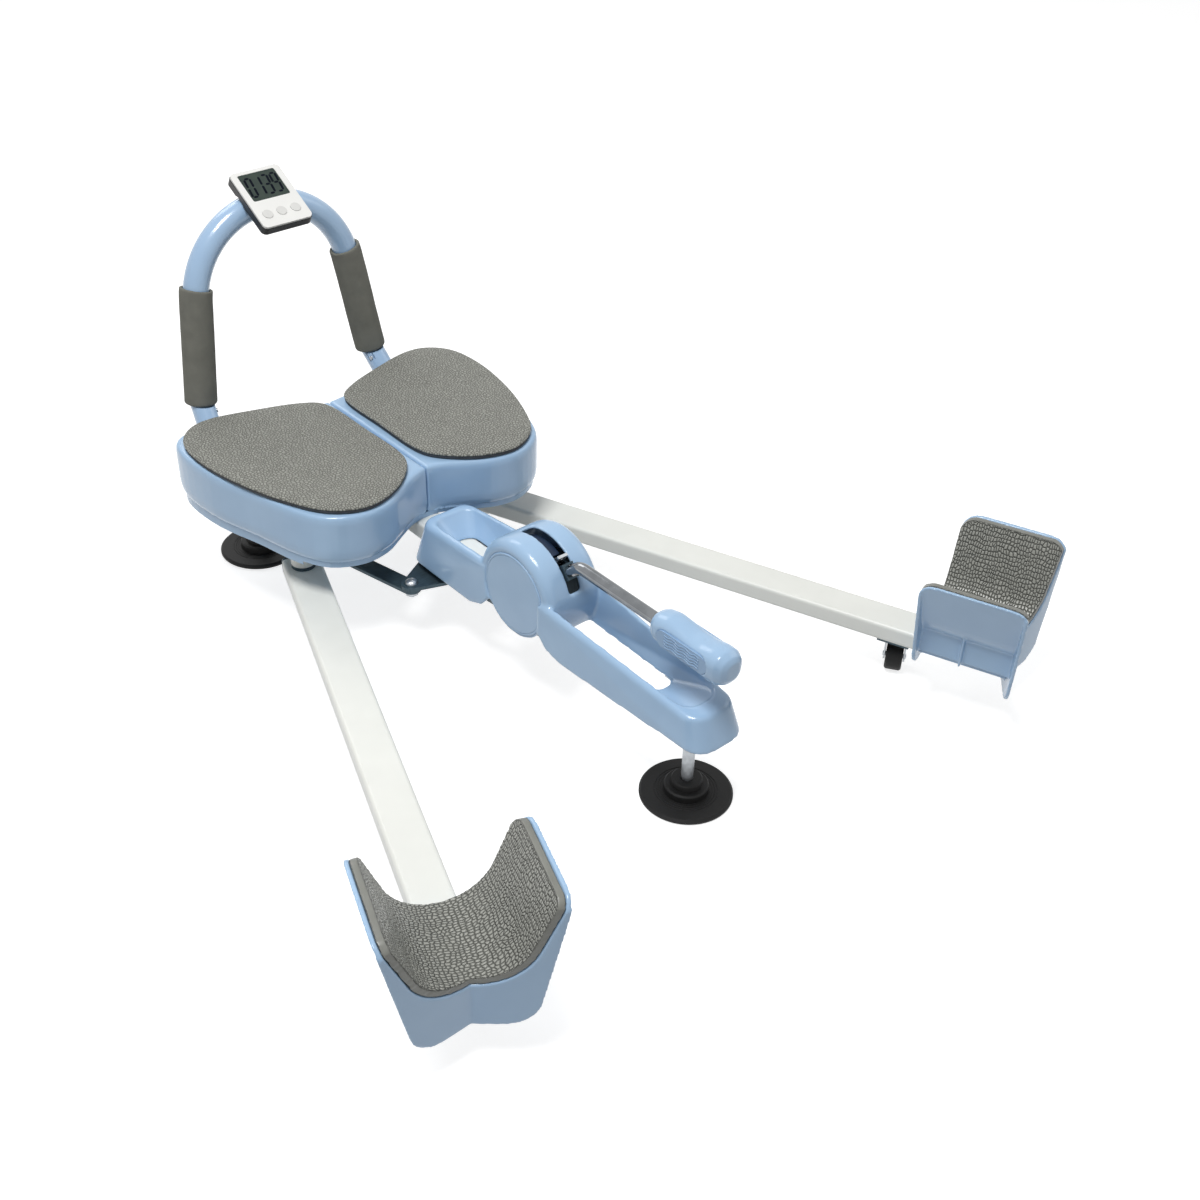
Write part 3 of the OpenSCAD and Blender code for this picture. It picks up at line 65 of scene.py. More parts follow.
camera = bpy.data.objects.new("camera", bpy.data.cameras.new("camera"))
bpy.context.scene.collection.objects.link(camera)
level_reach = math.cos(ELEVATION)
look_back = Vector((math.sin(AZIMUTH) * level_reach, -math.cos(AZIMUTH) * level_reach, math.sin(ELEVATION)))
level_right = (-look_back).cross(Vector((0, 0, 1))).normalized()
level_up = look_back.cross(level_right)
right = math.cos(ROLL) * level_right + math.sin(ROLL) * level_up
up = -math.sin(ROLL) * level_right + math.cos(ROLL) * level_up
camera.matrix_world = Matrix.Translation(CAMERA_AT) @ Matrix((right, up, look_back)).transposed().to_4x4()
camera.data.sensor_width = SENSOR_MM
camera.data.lens = FOCAL_PX / IMAGE_PX * SENSOR_MM
camera.data.clip_start, camera.data.clip_end = 0.01, 50
bpy.context.scene.camera = camera
print("camera looks along", tuple(round(v, 3) for v in -look_back))

# %% [markdown]
# ## Helpers for materials
# Screens show sRGB colours, but a renderer adds light in linear numbers, so each hex colour is turned to
# linear once. One function adds any shader node with its settings and links, and one starts a material.
# The others each do one thing to a surface: place a pattern on it, or let that pattern change the colour,
# the roughness or the relief. A texture's Scale counts lumps in a metre, so it is worked out from their size.

# %% Colour, node and material helpers
def linear(hex_colour):
    """An sRGB hex colour as linear red, green, blue and alpha."""
    values = [int(hex_colour[i:i + 2], 16) / 255 for i in (1, 3, 5)]
    return [v / 12.92 if v <= 0.04045 else ((v + 0.055) / 1.055) ** 2.4 for v in values] + [1.0]


def add(tree, kind, settings=None, values=None, links=None):
    """Adds a node with its settings, its socket values and its links from other sockets."""
    node = tree.nodes.new(kind)
    for key, value in (settings or {}).items():
        setattr(node, key, value)
    for key, value in (values or {}).items():
        node.inputs[key].default_value = value
    for key, source in (links or {}).items():
        tree.links.new(source, node.inputs[key])
    return node


def finish_of(name, hex_colour, roughness, **sockets):
    """Starts a material: its principled shader with the values that are the same all over."""
    made = bpy.data.materials.new(name)
    made.use_nodes = True
    shader = made.node_tree.nodes["Principled BSDF"]
    shader.inputs["Base Color"].default_value = linear(hex_colour)
    shader.inputs["Roughness"].default_value = roughness
    for key, value in sockets.items():
        shader.inputs[key.replace("_", " ")].default_value = value
    return made, made.node_tree, shader


def per_metre(size_mm):
    """How many lumps of a size fit in a metre."""
    return 1 / (size_mm * MM)


def places(tree, scale=(1, 1, 1)):
    """Object coordinates, stretched where a pattern runs one way."""
    spot = add(tree, "ShaderNodeTexCoord").outputs["Object"]
    return add(tree, "ShaderNodeMapping", values={"Scale": scale}, links={"Vector": spot}).outputs[0]


def tint(tree, shader, factor, low, high, colours):
    """Blends the base colour from one hex colour to another as factor goes from low to high."""
    ramp = add(tree, "ShaderNodeValToRGB", links={"Fac": factor})
    for stop, at, colour in zip(ramp.color_ramp.elements, (low, high), colours):
        stop.position, stop.color = at, linear(colour)
    tree.links.new(ramp.outputs["Color"], shader.inputs["Base Color"])


def vary_roughness(tree, shader, factor, low, high):
    """Takes the roughness from low to high as factor goes from 0 to 1."""
    span = add(tree, "ShaderNodeMapRange", values={"To Min": low, "To Max": high}, links={"Value": factor})
    tree.links.new(span.outputs[0], shader.inputs["Roughness"])


def emboss(tree, shader, height, depth_mm, strength=1.0, edge_mm=0.0):
    """Tilts the shading by a pattern that is depth_mm deep, and rounds edges where edge_mm isn't 0."""
    relief = add(tree, "ShaderNodeBump", values={"Distance": depth_mm * MM, "Strength": strength},
                 links={"Height": height})
    if edge_mm:
        soft = add(tree, "ShaderNodeBevel", {"samples": 6}, {"Radius": edge_mm * MM})
        tree.links.new(soft.outputs[0], relief.inputs["Normal"])
    tree.links.new(relief.outputs[0], shader.inputs["Normal"])

print("white is", linear("#FFFFFF")[:3])

# %% [markdown]
# ## Moulded plastic and painted tube
# The housing, seat shells and cups are ABS, injection moulded in a polished steel tool. Such a surface is
# glossy with very faint waves, where the plastic shrank as it cooled. The handlebar is steel tube in the same
# pale blue under a clear coat, so its highlight is sharper. Edges catch the light because nothing real is
# perfectly sharp, and a bevel node rounds the shading of the loaded metal's edges.

# %% Blue and white finishes
WAVE_MM, SKIN_MM = 45.5, 1.43


def moulded(name, colours, roughness, edge_mm=0.0, **sockets):
    """Glossy injection moulded plastic or paint with faint waves, and soft edges where edge_mm isn't 0."""
    made, tree, shader = finish_of(name, colours[0], roughness, **sockets)
    spot = places(tree)
    waviness = add(tree, "ShaderNodeTexNoise", values={"Scale": per_metre(WAVE_MM), "Detail": 2.0},
                   links={"Vector": spot})
    skin = add(tree, "ShaderNodeTexNoise", values={"Scale": per_metre(SKIN_MM), "Detail": 3.0},
               links={"Vector": spot})
    tint(tree, shader, waviness.outputs[0], 0.3, 0.7, colours)
    vary_roughness(tree, shader, skin.outputs[0], roughness - 0.03, roughness + 0.05)
    emboss(tree, shader, skin.outputs[0], 0.02, 0.5, edge_mm)
    return made

abs_blue = moulded("moulded_abs_pale_blue", ("#9FBEDD", "#A5C4E2"), 0.19)
abs_blue_hard = moulded("moulded_abs_pale_blue_hard_edges", ("#9FBEDD", "#A5C4E2"), 0.19, 0.8)
abs_deep = moulded("moulded_abs_deeper_blue", ("#8AAACC", "#90B0D1"), 0.28, 0.4)
coat_blue = moulded("coated_steel_tube_blue", ("#9EBCDC", "#A4C2E0"), 0.22, Coat_Weight=0.5,
                    Coat_Roughness=0.08)
coat_white = moulded("powder_coated_steel_white", ("#E6E7E1", "#EBECE6"), 0.36, 0.8)
abs_white = moulded("moulded_abs_white", ("#E6E6E3", "#EAEAE7"), 0.3, 0.4)
silicone = moulded("moulded_silicone_white", ("#D2D2CF", "#D7D7D4"), 0.45, 0.3)
abs_black = moulded("moulded_abs_black", ("#0A0A0B", "#0E0E10"), 0.4, 0.5)
# painted shade: the slot shield's dark navy stands for the shade deep in the slot
navy_slot_shade = moulded("moulded_abs_navy_painted_shade", ("#0E2038", "#122640"), 0.42, 0.3)
print("made moulded and painted finishes")

# %% [markdown]
# ## Metals
# A metal's colour is the colour of its reflection, so these have Metallic at 1. The lever rod is chrome
# plated and nearly a mirror. Real chrome shows a dark room round it, so here its own colour is darker.
# Links and plates are blackened steel under a thin dark coat: dull, with rolling marks, and less metallic.
# Pins and forks are zinc plated, which is grey with small clouds of different roughness.

# %% Metal finishes
def metal(name, colours, rough, cloud_mm, edge_mm=0.5, metallic=1.0, streak=(1, 1, 1)):
    """Bare or plated metal whose roughness goes between the two values of rough in clouds or streaks."""
    made, tree, shader = finish_of(name, colours[0], rough[0], Metallic=metallic)
    clouds = add(tree, "ShaderNodeTexNoise", values={"Scale": per_metre(cloud_mm), "Detail": 5.0},
                 links={"Vector": places(tree, streak)}).outputs[0]
    tint(tree, shader, clouds, 0.35, 0.65, colours)
    vary_roughness(tree, shader, clouds, *rough)
    emboss(tree, shader, clouds, 0.01, 0.4, edge_mm)
    return made

chrome = metal("chrome_plated_steel", ("#7B7E81", "#888B8E"), (0.06, 0.12), 16.7, 0.0)
zinc = metal("zinc_plated_steel", ("#A9ADB1", "#BEC2C6"), (0.28, 0.46), 5.56)
dark_steel = metal("blackened_steel_plate", ("#3A4A53", "#44565F"), (0.34, 0.5), 8.33, 0.6, 0.55, (1, 6, 1))
gear_steel = metal("hobbed_gear_steel", ("#7F868C", "#959CA2"), (0.3, 0.42), 5)
bronze = metal("sintered_bronze", ("#B08E4B", "#C8A45A"), (0.35, 0.5), 2)
print("made metal finishes")

# %% [markdown]
# ## Leather, foam and rubber
# The pads are covered in grey artificial leather: a soft coat pressed with a pebble grain, about 3 mm from
# crease to crease. A Voronoi texture gives the distance to the nearest cell edge, which is just such a net of
# creases. The creases are dented by a bump and also painted darker, as painted shade. Adding slow noise to
# the coordinates first keeps the cells from looking drawn with a ruler.
# Where a liner is bent into a cup, the pebbles lie in rows along the leg with long creases between the rows.
# An evener net gives the rows. Its coordinates are stored on the liner, unrolled like a sheet, and a third
# number beside them is 1 on the liner's cut rim, where the leather is smooth and painted darker as shade.

# %% Leather finishes
DRIFT_MM, DRIFT_CELLS = 22.2, 1.6
# the last of these is how much darker the liner's rim is painted, as painted shade
PATCH_MM, PATCH_SHARE, RIM_PAINTED_SHADE = 28.6, 0.15, 0.6


def creases(tree, spot, across_mm, along_mm, width, uneven):
    """0 in a net of creases, rising to 1 between them, with cells of a size across and a size along."""
    drift = add(tree, "ShaderNodeTexNoise", values={"Scale": per_metre(DRIFT_MM), "Detail": 1.0},
                links={"Vector": spot})
    moved = add(tree, "ShaderNodeVectorMath", {"operation": "MULTIPLY_ADD"},
                {1: [across_mm * MM * DRIFT_CELLS] * 3}, {0: drift.outputs["Color"], 2: spot})
    cell_size = [size * MM for size in (across_mm, along_mm, across_mm)]
    scaled = add(tree, "ShaderNodeMapping", {"vector_type": "TEXTURE"}, {"Scale": cell_size},
                 {"Vector": moved.outputs[0]})
    cells = add(tree, "ShaderNodeTexVoronoi", {"feature": "DISTANCE_TO_EDGE", "voronoi_dimensions": "2D"},
                {"Scale": 1.0, "Randomness": uneven}, {"Vector": scaled.outputs[0]})
    risen = add(tree, "ShaderNodeMapRange", {"interpolation_type": "SMOOTHSTEP"}, {"From Max": width},
                {"Value": cells.outputs[0]})
    return risen.outputs[0]


def leather(name, colours, net, depth_mm, roughness, stored=None):
    """Artificial leather with a net of pressed creases, on object coordinates or on stored ones. The creases,
    and the rim where coordinates are stored, are painted darker as shade.
    """
    made, tree, shader = finish_of(name, colours[1], roughness, Specular_IOR_Level=0.4, Sheen_Weight=0.05)
    if stored:
        spot = add(tree, "ShaderNodeAttribute", {"attribute_name": stored}).outputs["Vector"]
        rim = add(tree, "ShaderNodeSeparateXYZ", links={0: spot}).outputs["Z"]
        net_only = creases(tree, spot, *net)
        crease = add(tree, "ShaderNodeMath", {"operation": "MAXIMUM"}, links={0: net_only, 1: rim}).outputs[0]
    else:
        spot = places(tree)
        crease = creases(tree, spot, *net)
    patches = add(tree, "ShaderNodeTexNoise", values={"Scale": per_metre(PATCH_MM), "Detail": 3.0},
                  links={"Vector": spot})
    faint = add(tree, "ShaderNodeMapRange", values={"To Max": PATCH_SHARE},
                links={"Value": patches.outputs[0]})
    shade = add(tree, "ShaderNodeMath", {"operation": "MULTIPLY_ADD"}, {1: 1 - PATCH_SHARE},
                {0: crease, 2: faint.outputs[0]}).outputs[0]
    # painted shade: the liner's rim, where its surface turns away from the trough, is painted darker
    if stored:
        shade = add(tree, "ShaderNodeMath", {"operation": "MULTIPLY_ADD"}, {1: -RIM_PAINTED_SHADE},
                    {0: rim, 2: shade}).outputs[0]
    # painted shade: the creases take the darker colour, and the tops between them the lighter one
    tint(tree, shader, shade, 0.05, 0.6, colours)
    vary_roughness(tree, shader, crease, roughness + 0.15, roughness - 0.05)
    emboss(tree, shader, crease, depth_mm)
    return made

PAD_NET, LINER_NET = (3.2, 3.2, 0.4, 1.0), (4.4, 2.8, 0.28, 0.55)
# the first, darker colour of each leather is painted shade in its creases
pad_leather = leather("artificial_leather_fine_grain", ("#5A5A55", "#999A92"), PAD_NET, 0.6, 0.46)
liner_leather = leather("artificial_leather_rows", ("#454641", "#A2A39C"), LINER_NET, 1.1, 0.36, "unrolled")
print("made leather with creases", PAD_NET[0], "and", LINER_NET[0], "mm apart")

# %% Foam and rubber finishes
CLOUDY_MM = 16.7


def dull(name, colours, roughness, grain_mm, depth_mm, edge_mm=0.0):
    """Rubber or foam: no gloss to speak of, a fine grain and a cloudy colour."""
    made, tree, shader = finish_of(name, colours[0], roughness, Specular_IOR_Level=0.3)
    spot = places(tree)
    fine = add(tree, "ShaderNodeTexNoise", values={"Scale": per_metre(grain_mm), "Detail": 4.0},
               links={"Vector": spot})
    broad = add(tree, "ShaderNodeTexNoise", values={"Scale": per_metre(CLOUDY_MM), "Detail": 3.0},
                links={"Vector": spot})
    tint(tree, shader, broad.outputs[0], 0.3, 0.7, colours)
    vary_roughness(tree, shader, fine.outputs[0], roughness - 0.08, roughness + 0.08)
    emboss(tree, shader, fine.outputs[0], depth_mm, edge_mm=edge_mm)
    return made

foam_grey = dull("closed_cell_foam_grey", ("#6E6E67", "#787870"), 0.86, 0.714, 0.12)
board_foam = dull("pressed_foam_board_dark", ("#44474B", "#505357"), 0.8, 1.11, 0.1)
rubber = dull("moulded_rubber_black", ("#060606", "#0B0B0B"), 0.55, 1.67, 0.05, 0.4)
print("made soft finishes")

# %% [markdown]
# ## Dress the metal and small parts
# Loaded nodes keep their shape, and only their material slots change. A short table says which finish each
# node has, and every name not listed there is made again further down.

# %% Give the loaded nodes their finishes
FINISHES = {
    coat_white: ["main_rail", "pivot_beam", "rear_cross_tube", "leg_tube_left", "leg_tube_right"],
    coat_blue: ["handlebar", "bar_elbows"],
    zinc: ["plate_fixings", "toe_block", "guide_rod", "pivot_bolts", "crosshead_bolts", "hub_axle", "pawl",
           "front_foot_rod", "rear_foot_rod_left", "rear_foot_rod_right", "drag_pin_left", "drag_pin_right",
           "caster_fork_left", "caster_fork_right", "snap_buttons"],
    dark_steel: ["frame_plates", "leg_fittings_left", "leg_fittings_right", "crosshead",
                 "drag_link_left", "drag_link_right", "lever_head"],
    gear_steel: ["drive_gears", "ratchet_wheel"],
    bronze: ["axle_bushes"],
    chrome: ["lever_rod"],
    # the slot shield's dark navy is painted shade for the deep slot
    navy_slot_shade: ["slot_shield"],
    abs_blue_hard: ["hub_caps", "seat_tray"],
    abs_deep: ["grip_inlay"],
    abs_black: ["timer_case", "timer_bracket"],
    abs_white: ["timer_face"],
    silicone: ["timer_button_left", "timer_button_middle", "timer_button_right"],
    rubber: ["front_foot_pad", "rear_foot_pad_left", "rear_foot_pad_right",
             "caster_wheel_left", "caster_wheel_right"],
}


def dress(piece, finish):
    """Puts one finish on all of a piece."""
    piece.data.materials.clear()
    piece.data.materials.append(finish)

for finish, names in FINISHES.items():
    for name in names:
        dress(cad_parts[name], finish)
print("dressed", sum(len(names) for names in FINISHES.values()), "loaded nodes")

# %% [markdown]
# ## Soften the moulded parts
# A moulded part has no sharp edge, because hot plastic fills a rounded tool and leaves it easily. Rounding
# each edge by hand would be slow work on walls and openings like these. Voxel remeshing wraps the whole
# solid in an even net instead, and smoothing that net rounds every edge and fills every inner corner alike,
# as a fillet does. The number of smoothing passes sets the radius.

# %% Remesh and smooth a copy of a node
def shade_smooth(mesh):
    """Shades a mesh's faces as parts of one smooth surface."""
    mesh.polygons.foreach_set("use_smooth", [True] * len(mesh.polygons))


def plain(piece):
    """Turns a piece with modifiers into a plain mesh."""
    seen = piece.evaluated_get(bpy.context.evaluated_depsgraph_get())
    mesh = bpy.data.meshes.new_from_object(seen)
    piece.modifiers.clear()
    piece.data = mesh
    mesh.name = piece.name


def piece_from(mesh, name, finish):
    """Links a mesh as a piece with its finish and smooth shading."""
    piece = bpy.data.objects.new(name, mesh)
    bpy.context.scene.collection.objects.link(piece)
    dress(piece, finish)
    shade_smooth(mesh)
    return piece


def softened(node, name, finish, voxel_mm, passes):
    """A node's solid as an even net with rounded edges, in the same place."""
    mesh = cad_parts[node].data.copy()
    bm = bmesh.new()
    bm.from_mesh(mesh)
    bmesh.ops.remove_doubles(bm, verts=bm.verts, dist=0.01 * MM)
    bm.to_mesh(mesh)
    bm.free()
    piece = piece_from(mesh, name, finish)
    net = piece.modifiers.new("net", "REMESH")
    net.mode, net.voxel_size, net.use_smooth_shade = "VOXEL", voxel_mm * MM, True
    rounding = piece.modifiers.new("rounding", "SMOOTH")
    rounding.factor, rounding.iterations = 0.5, passes
    plain(piece)
    shade_smooth(piece.data)
    print(name, "has", len(piece.data.polygons), "faces")
    return piece


def stand_for(piece, body, slot, *nodes):
    """Fixes a piece to its body and hides the nodes that it stands for; slot is not used."""
    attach(piece, body)
    if nodes:
        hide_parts(*nodes)

# %% [markdown]
# ## Housing, seat shells, cups and lever grip
# A net has to be finer than the thinnest wall that it wraps, and a broad piece can do with a coarser one
# than a grip that is looked at from near. More passes round more: the housing and the grip have large soft
# radii, while the rims of the seat shells and cups stay crisp.

# %% Make the blue mouldings
# Each row holds the node, the new piece, its body, the net's size in millimetres and the smoothing passes
MOULDINGS = [("drive_housing", "moulded_housing", "frame", 1.5, 10)]
for side in SIDES:
    MOULDINGS += [(f"seat_shell_{side}", f"seat_moulding_{side}", "frame", 1.8, 3),
                  (f"cup_{side}", f"cup_moulding_{side}", f"{side}_leg", 1.2, 4)]
MOULDINGS += [("lever_grip", "lever_grip_moulding", "lever", 0.9, 14)]
for node, name, body, voxel_mm, passes in MOULDINGS:
    stand_for(softened(node, name, abs_blue, voxel_mm, passes), body, "blue_plastic", node)

# %% [markdown]
# ## Foam grips
# Each grip is a sleeve of closed-cell foam, pushed up the tube with soapy water. Its cut ends are soft, and
# it is never quite even: it bulges a little where it was gripped while it was pushed. A remeshed copy gets
# that unevenness from a few slow waves along and round it.

# %% Make the foam grips
BULGE_MM, BULGE_SIZES, FOAM_SINK_MM = 0.16, (34, 21, 13), 0.1

# At 1 the waves would not change at all along their direction
RUN_ON = 0.93


def waves(points, sizes_mm, seed, along=(0, 0, 0)):
    """A smooth uneven value from -1 to 1 at each point: a sum of waves that run on along one direction."""
    chance = np.random.default_rng(seed)
    total = np.zeros(len(points))
    for size in sizes_mm:
        way = chance.normal(size=3)
        way -= RUN_ON * (way @ np.array(along)) * np.array(along)
        way /= np.linalg.norm(way)
        total += np.sin(points @ way * 2 * math.pi / (size * MM) + chance.uniform(0, 6.28))
    return total / len(sizes_mm)


def vertices_of(mesh, what="co"):
    """A mesh's points or normals as an array."""
    values = np.zeros(len(mesh.vertices) * 3)
    mesh.vertices.foreach_get(what, values)
    return values.reshape(-1, 3)


def push(piece, amount_mm):
    """Moves each point along its normal."""
    moved = vertices_of(piece.data) + vertices_of(piece.data, "normal") * (amount_mm * MM)[:, None]
    piece.data.vertices.foreach_set("co", moved.ravel())
    piece.data.update()

for side, seed in zip(SIDES, (3, 8)):
    grip = softened(f"foam_grip_{side}", f"foam_sleeve_{side}", foam_grey, 1.2, 5)
    push(grip, BULGE_MM * waves(vertices_of(grip.data), BULGE_SIZES, seed) - FOAM_SINK_MM)
    stand_for(grip, "frame", "foam", f"foam_grip_{side}")

# %% [markdown]
# ## Seat pads
# A pad is a dark pressed foam board with a leather-covered top, glued into the shell. Its outline is read
# from the loaded pad, evened out into a fine closed curve, and rings of that curve, each further in, build
# the form: a drawn-in board below, then the leather's rounded shoulder and the low crown.

# %% Read a pad's outline as a closed curve
RING, FINE = 240, 960
BLUR_REACH, BLUR_WIDTH = 16, 6


def outline_of(node, share):
    """The node's outline at a share of its height, as RING even points round its middle."""
    points = vertices_of(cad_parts[node].data)
    low, high = points[:, 2].min(), points[:, 2].max()
    near = np.abs(points[:, 2] - (low + share * (high - low))) < 0.1 * MM
    flat = np.unique(np.round(points[near][:, :2], 6), axis=0)
    middle = flat.mean(0)
    flat = flat[np.argsort(np.arctan2(*(flat - middle).T[::-1]))]
    closed = np.vstack([flat, flat[:1]])
    along = np.concatenate([[0], np.cumsum(np.linalg.norm(np.diff(closed, axis=0), axis=1))])
    steps = np.arange(FINE) / FINE * along[-1]
    fine = np.stack([np.interp(steps, along, closed[:, k]) for k in (0, 1)], 1)
    weights = np.exp(-0.5 * (np.arange(-BLUR_REACH, BLUR_REACH + 1) / BLUR_WIDTH) ** 2)
    wrapped = np.vstack([fine[-BLUR_REACH:], fine, fine[:BLUR_REACH]])
    even = np.stack([np.convolve(wrapped[:, k], weights / weights.sum(), "valid") for k in (0, 1)], 1)
    return even[::FINE // RING], middle, low, high


def ring_at(edge, middle, inset_mm, height):
    """The outline moved inwards by inset_mm, or shrunk to the middle where it is nearer than that."""
    arm = edge - middle
    share = np.maximum(1 - inset_mm * MM / np.linalg.norm(arm, axis=1), 0.0)
    return np.column_stack([middle + arm * share[:, None], np.broadcast_to(height, len(edge))])


def mesh_of_rings(name, rings, finish):
    """A closed mesh through rings of equal point counts, with a fan at each end."""
    count = len(rings[0])
    points = [tuple(p) for ring in rings for p in ring]
    ends = [tuple(np.mean(ring, axis=0)) for ring in (rings[0], rings[-1])]
    bottom, top = len(points), len(points) + 1
    last = (len(rings) - 1) * count
    faces = []
    for j in range(0, last, count):
        for i in range(count):
            k = (i + 1) % count
            faces.append((j + i, j + k, j + count + k, j + count + i))
    faces += [(bottom, (i + 1) % count, i) for i in range(count)]
    faces += [(top, last + i, last + (i + 1) % count) for i in range(count)]
    mesh = bpy.data.meshes.new(name)
    mesh.from_pydata(points + ends, [], faces)
    return piece_from(mesh, name, finish)

print("an outline has", RING, "points")

# %% [markdown]
# ## The pads' profiles
# A profile is a list of steps: how far the ring is in from the edge, in millimetres, and at which share of
# the height. The board's comes out from below and goes in again at its top, as a pressed edge does. The
# cover's rises steeply, turns over at the shoulder and ends in a crown, whose rings stand closer together
# near the shoulder, where it bends most.

# %% Build both pads from rings
OUTLINE_SHARE, BOARD_SHARE = 0.35, 0.56
BOARD_PROFILE = ((3.0, 0), (1.6, 0.1), (0.9, 0.3), (0.6, 0.6), (0.8, 0.9), (1.4, 1.0))
COVER_PROFILE = ((1.0, 0), (0.3, 0.02), (0.0, 0.12), (0.0, 0.26), (0.25, 0.42), (0.8, 0.55), (1.8, 0.66))
CROWN_RINGS, CROWDING = 40, 1.3
CROWN_MM, CROWN_POWER, CENTRE_MM, CENTRE_SHARE = 16, 0.8, 2.5, 0.995

shoulder_mm, shoulder = COVER_PROFILE[-1]
for side in SIDES:
    node = f"seat_pad_{side}"
    edge, middle, low, high = outline_of(node, OUTLINE_SHARE)
    split = low + BOARD_SHARE * (high - low)
    board = [ring_at(edge, middle, inset, low + share * (split - low)) for inset, share in BOARD_PROFILE]
    stand_for(mesh_of_rings(f"pad_board_{side}", board, board_foam), "frame", "foam", node)
    cover = [ring_at(edge, middle, inset, split + share * (high - split)) for inset, share in COVER_PROFILE]
    reach_mm = np.linalg.norm(edge - middle, axis=1) / MM
    for share in np.linspace(0, 1, CROWN_RINGS)[1:-1] ** CROWDING:
        inset = shoulder_mm + share * (reach_mm - CENTRE_MM) * CENTRE_SHARE
        crown = shoulder + (1 - shoulder) * np.tanh((share * reach_mm / CROWN_MM) ** CROWN_POWER)
        cover.append(ring_at(edge, middle, inset, split + crown * (high - split)))
    pad = mesh_of_rings(f"pad_cover_{side}", cover, pad_leather)
    stand_for(pad, "frame", "leather", node)
    print(pad.name, "is", round((high - low) / MM, 1), "mm deep with its board")

# %% [markdown]
# ## Cup liners
# The liners are thick leather-covered foam. Bending them into the trough bunches the leather into folds
# that run along the leg. They are large enough to catch the light, so they are pushed into the mesh: waves
# across the leg that hardly change along it.

# %% Make the two liners
TROUGH_R, LINER_T, LEG_TURN = 48.0, 5.0, 20.7
FOLD_MM, FOLD_SIZES, LINER_SINK_MM = 0.28, (5.5, 7, 9, 13), 0.25
RIM_STARTS, RIM_BLEND = 0.8, 0.25


def unrolled(points, normals, leg_way):
    """Places on the trough's sheet: the arc length across it, the length along the leg, and 1 on its rim."""
    side_way = np.array((-leg_way[1], leg_way[0], 0))
    across = points @ side_way
    across -= (across.min() + across.max()) / 2
    rise = points[:, 2] - points[:, 2].min() - (LINER_T + TROUGH_R) * MM
    arc = np.arctan2(np.abs(across), np.maximum(-rise, 0)) * TROUGH_R * MM + np.maximum(rise, 0)
    out = np.column_stack([across, np.minimum(rise, 0)])
    out /= np.linalg.norm(out, axis=1, keepdims=True)
    facing = np.abs(normals @ side_way * out[:, 0] + normals[:, 2] * out[:, 1])
    rim = np.clip((RIM_STARTS - facing) / RIM_BLEND, 0, 1)
    return np.column_stack([np.sign(across) * arc, points @ np.array(leg_way), rim])

for side, turn, seed in zip(SIDES, (-LEG_TURN, LEG_TURN), (11, 29)):
    liner = softened(f"cup_liner_{side}", f"cup_padding_{side}", liner_leather, 0.95, 3)
    where = vertices_of(liner.data)
    leg_way = (math.sin(math.radians(turn)), -math.cos(math.radians(turn)), 0)
    push(liner, FOLD_MM * waves(where, FOLD_SIZES, seed, leg_way) - LINER_SINK_MM)
    sheet = liner.data.attributes.new("unrolled", "FLOAT_VECTOR", "POINT")
    sheet.data.foreach_set("vector", unrolled(where, vertices_of(liner.data, "normal"), leg_way).ravel())
    stand_for(liner, f"{side}_leg", "leather", f"cup_liner_{side}")

# %% [markdown]
# ## Timer display
# The timer has a liquid crystal display behind a flat window: dark strokes on a grey-green ground. The window
# and the strokes are drawn flat in millimetres, then scaled to metres and laid on the timer's tilted face.

# %% Build the display's window
TIMER_AT, TIMER_TILT = Vector((0, 0.672, 0.382)), math.radians(29.4)
WINDOW_UP, WINDOW_W, WINDOW_H, WINDOW_GAP, CORNER_R = 15.5, 45.0, 37.0, 0.3, 1.8
GLASS_BACK, GLASS_FRONT, INK_FRONT = -0.62, -0.3, -0.22
HAZE_MM = 11.1


def display_finish(name, colours, specular):
    """A dark layer of the display, with a faint haze between two near colours."""
    made, tree, shader = finish_of(name, colours[0], 0.4, Specular_IOR_Level=specular)
    haze = add(tree, "ShaderNodeTexNoise", values={"Scale": per_metre(HAZE_MM)},
               links={"Vector": places(tree)})
    tint(tree, shader, haze.outputs[0], 0.3, 0.7, colours)
    return made


def slab(bm, corners, bottom, top):
    """Adds a flat plate with the given corners, from bottom to top."""
    rows = [[bm.verts.new((x, y, z)) for x, y in corners] for z in (bottom, top)]
    bm.faces.new(rows[0][::-1])
    bm.faces.new(rows[1])
    for i in range(len(corners)):
        j = (i + 1) % len(corners)
        bm.faces.new((rows[0][i], rows[0][j], rows[1][j], rows[1][i]))


def on_timer(name, bm, finish):
    """Places what was drawn flat on the timer's face."""
    mesh = bpy.data.meshes.new(name)
    bmesh.ops.recalc_face_normals(bm, faces=bm.faces)
    bm.to_mesh(mesh)
    bm.free()
    mesh.transform(Matrix.Scale(MM, 4))
    mesh.transform(Matrix.Translation(TIMER_AT) @ Matrix.Rotation(TIMER_TILT, 4, "X"))
    piece = piece_from(mesh, name, finish)
    mesh.polygons.foreach_set("use_smooth", [False] * len(mesh.polygons))
    stand_for(piece, "frame", "black_plastic")

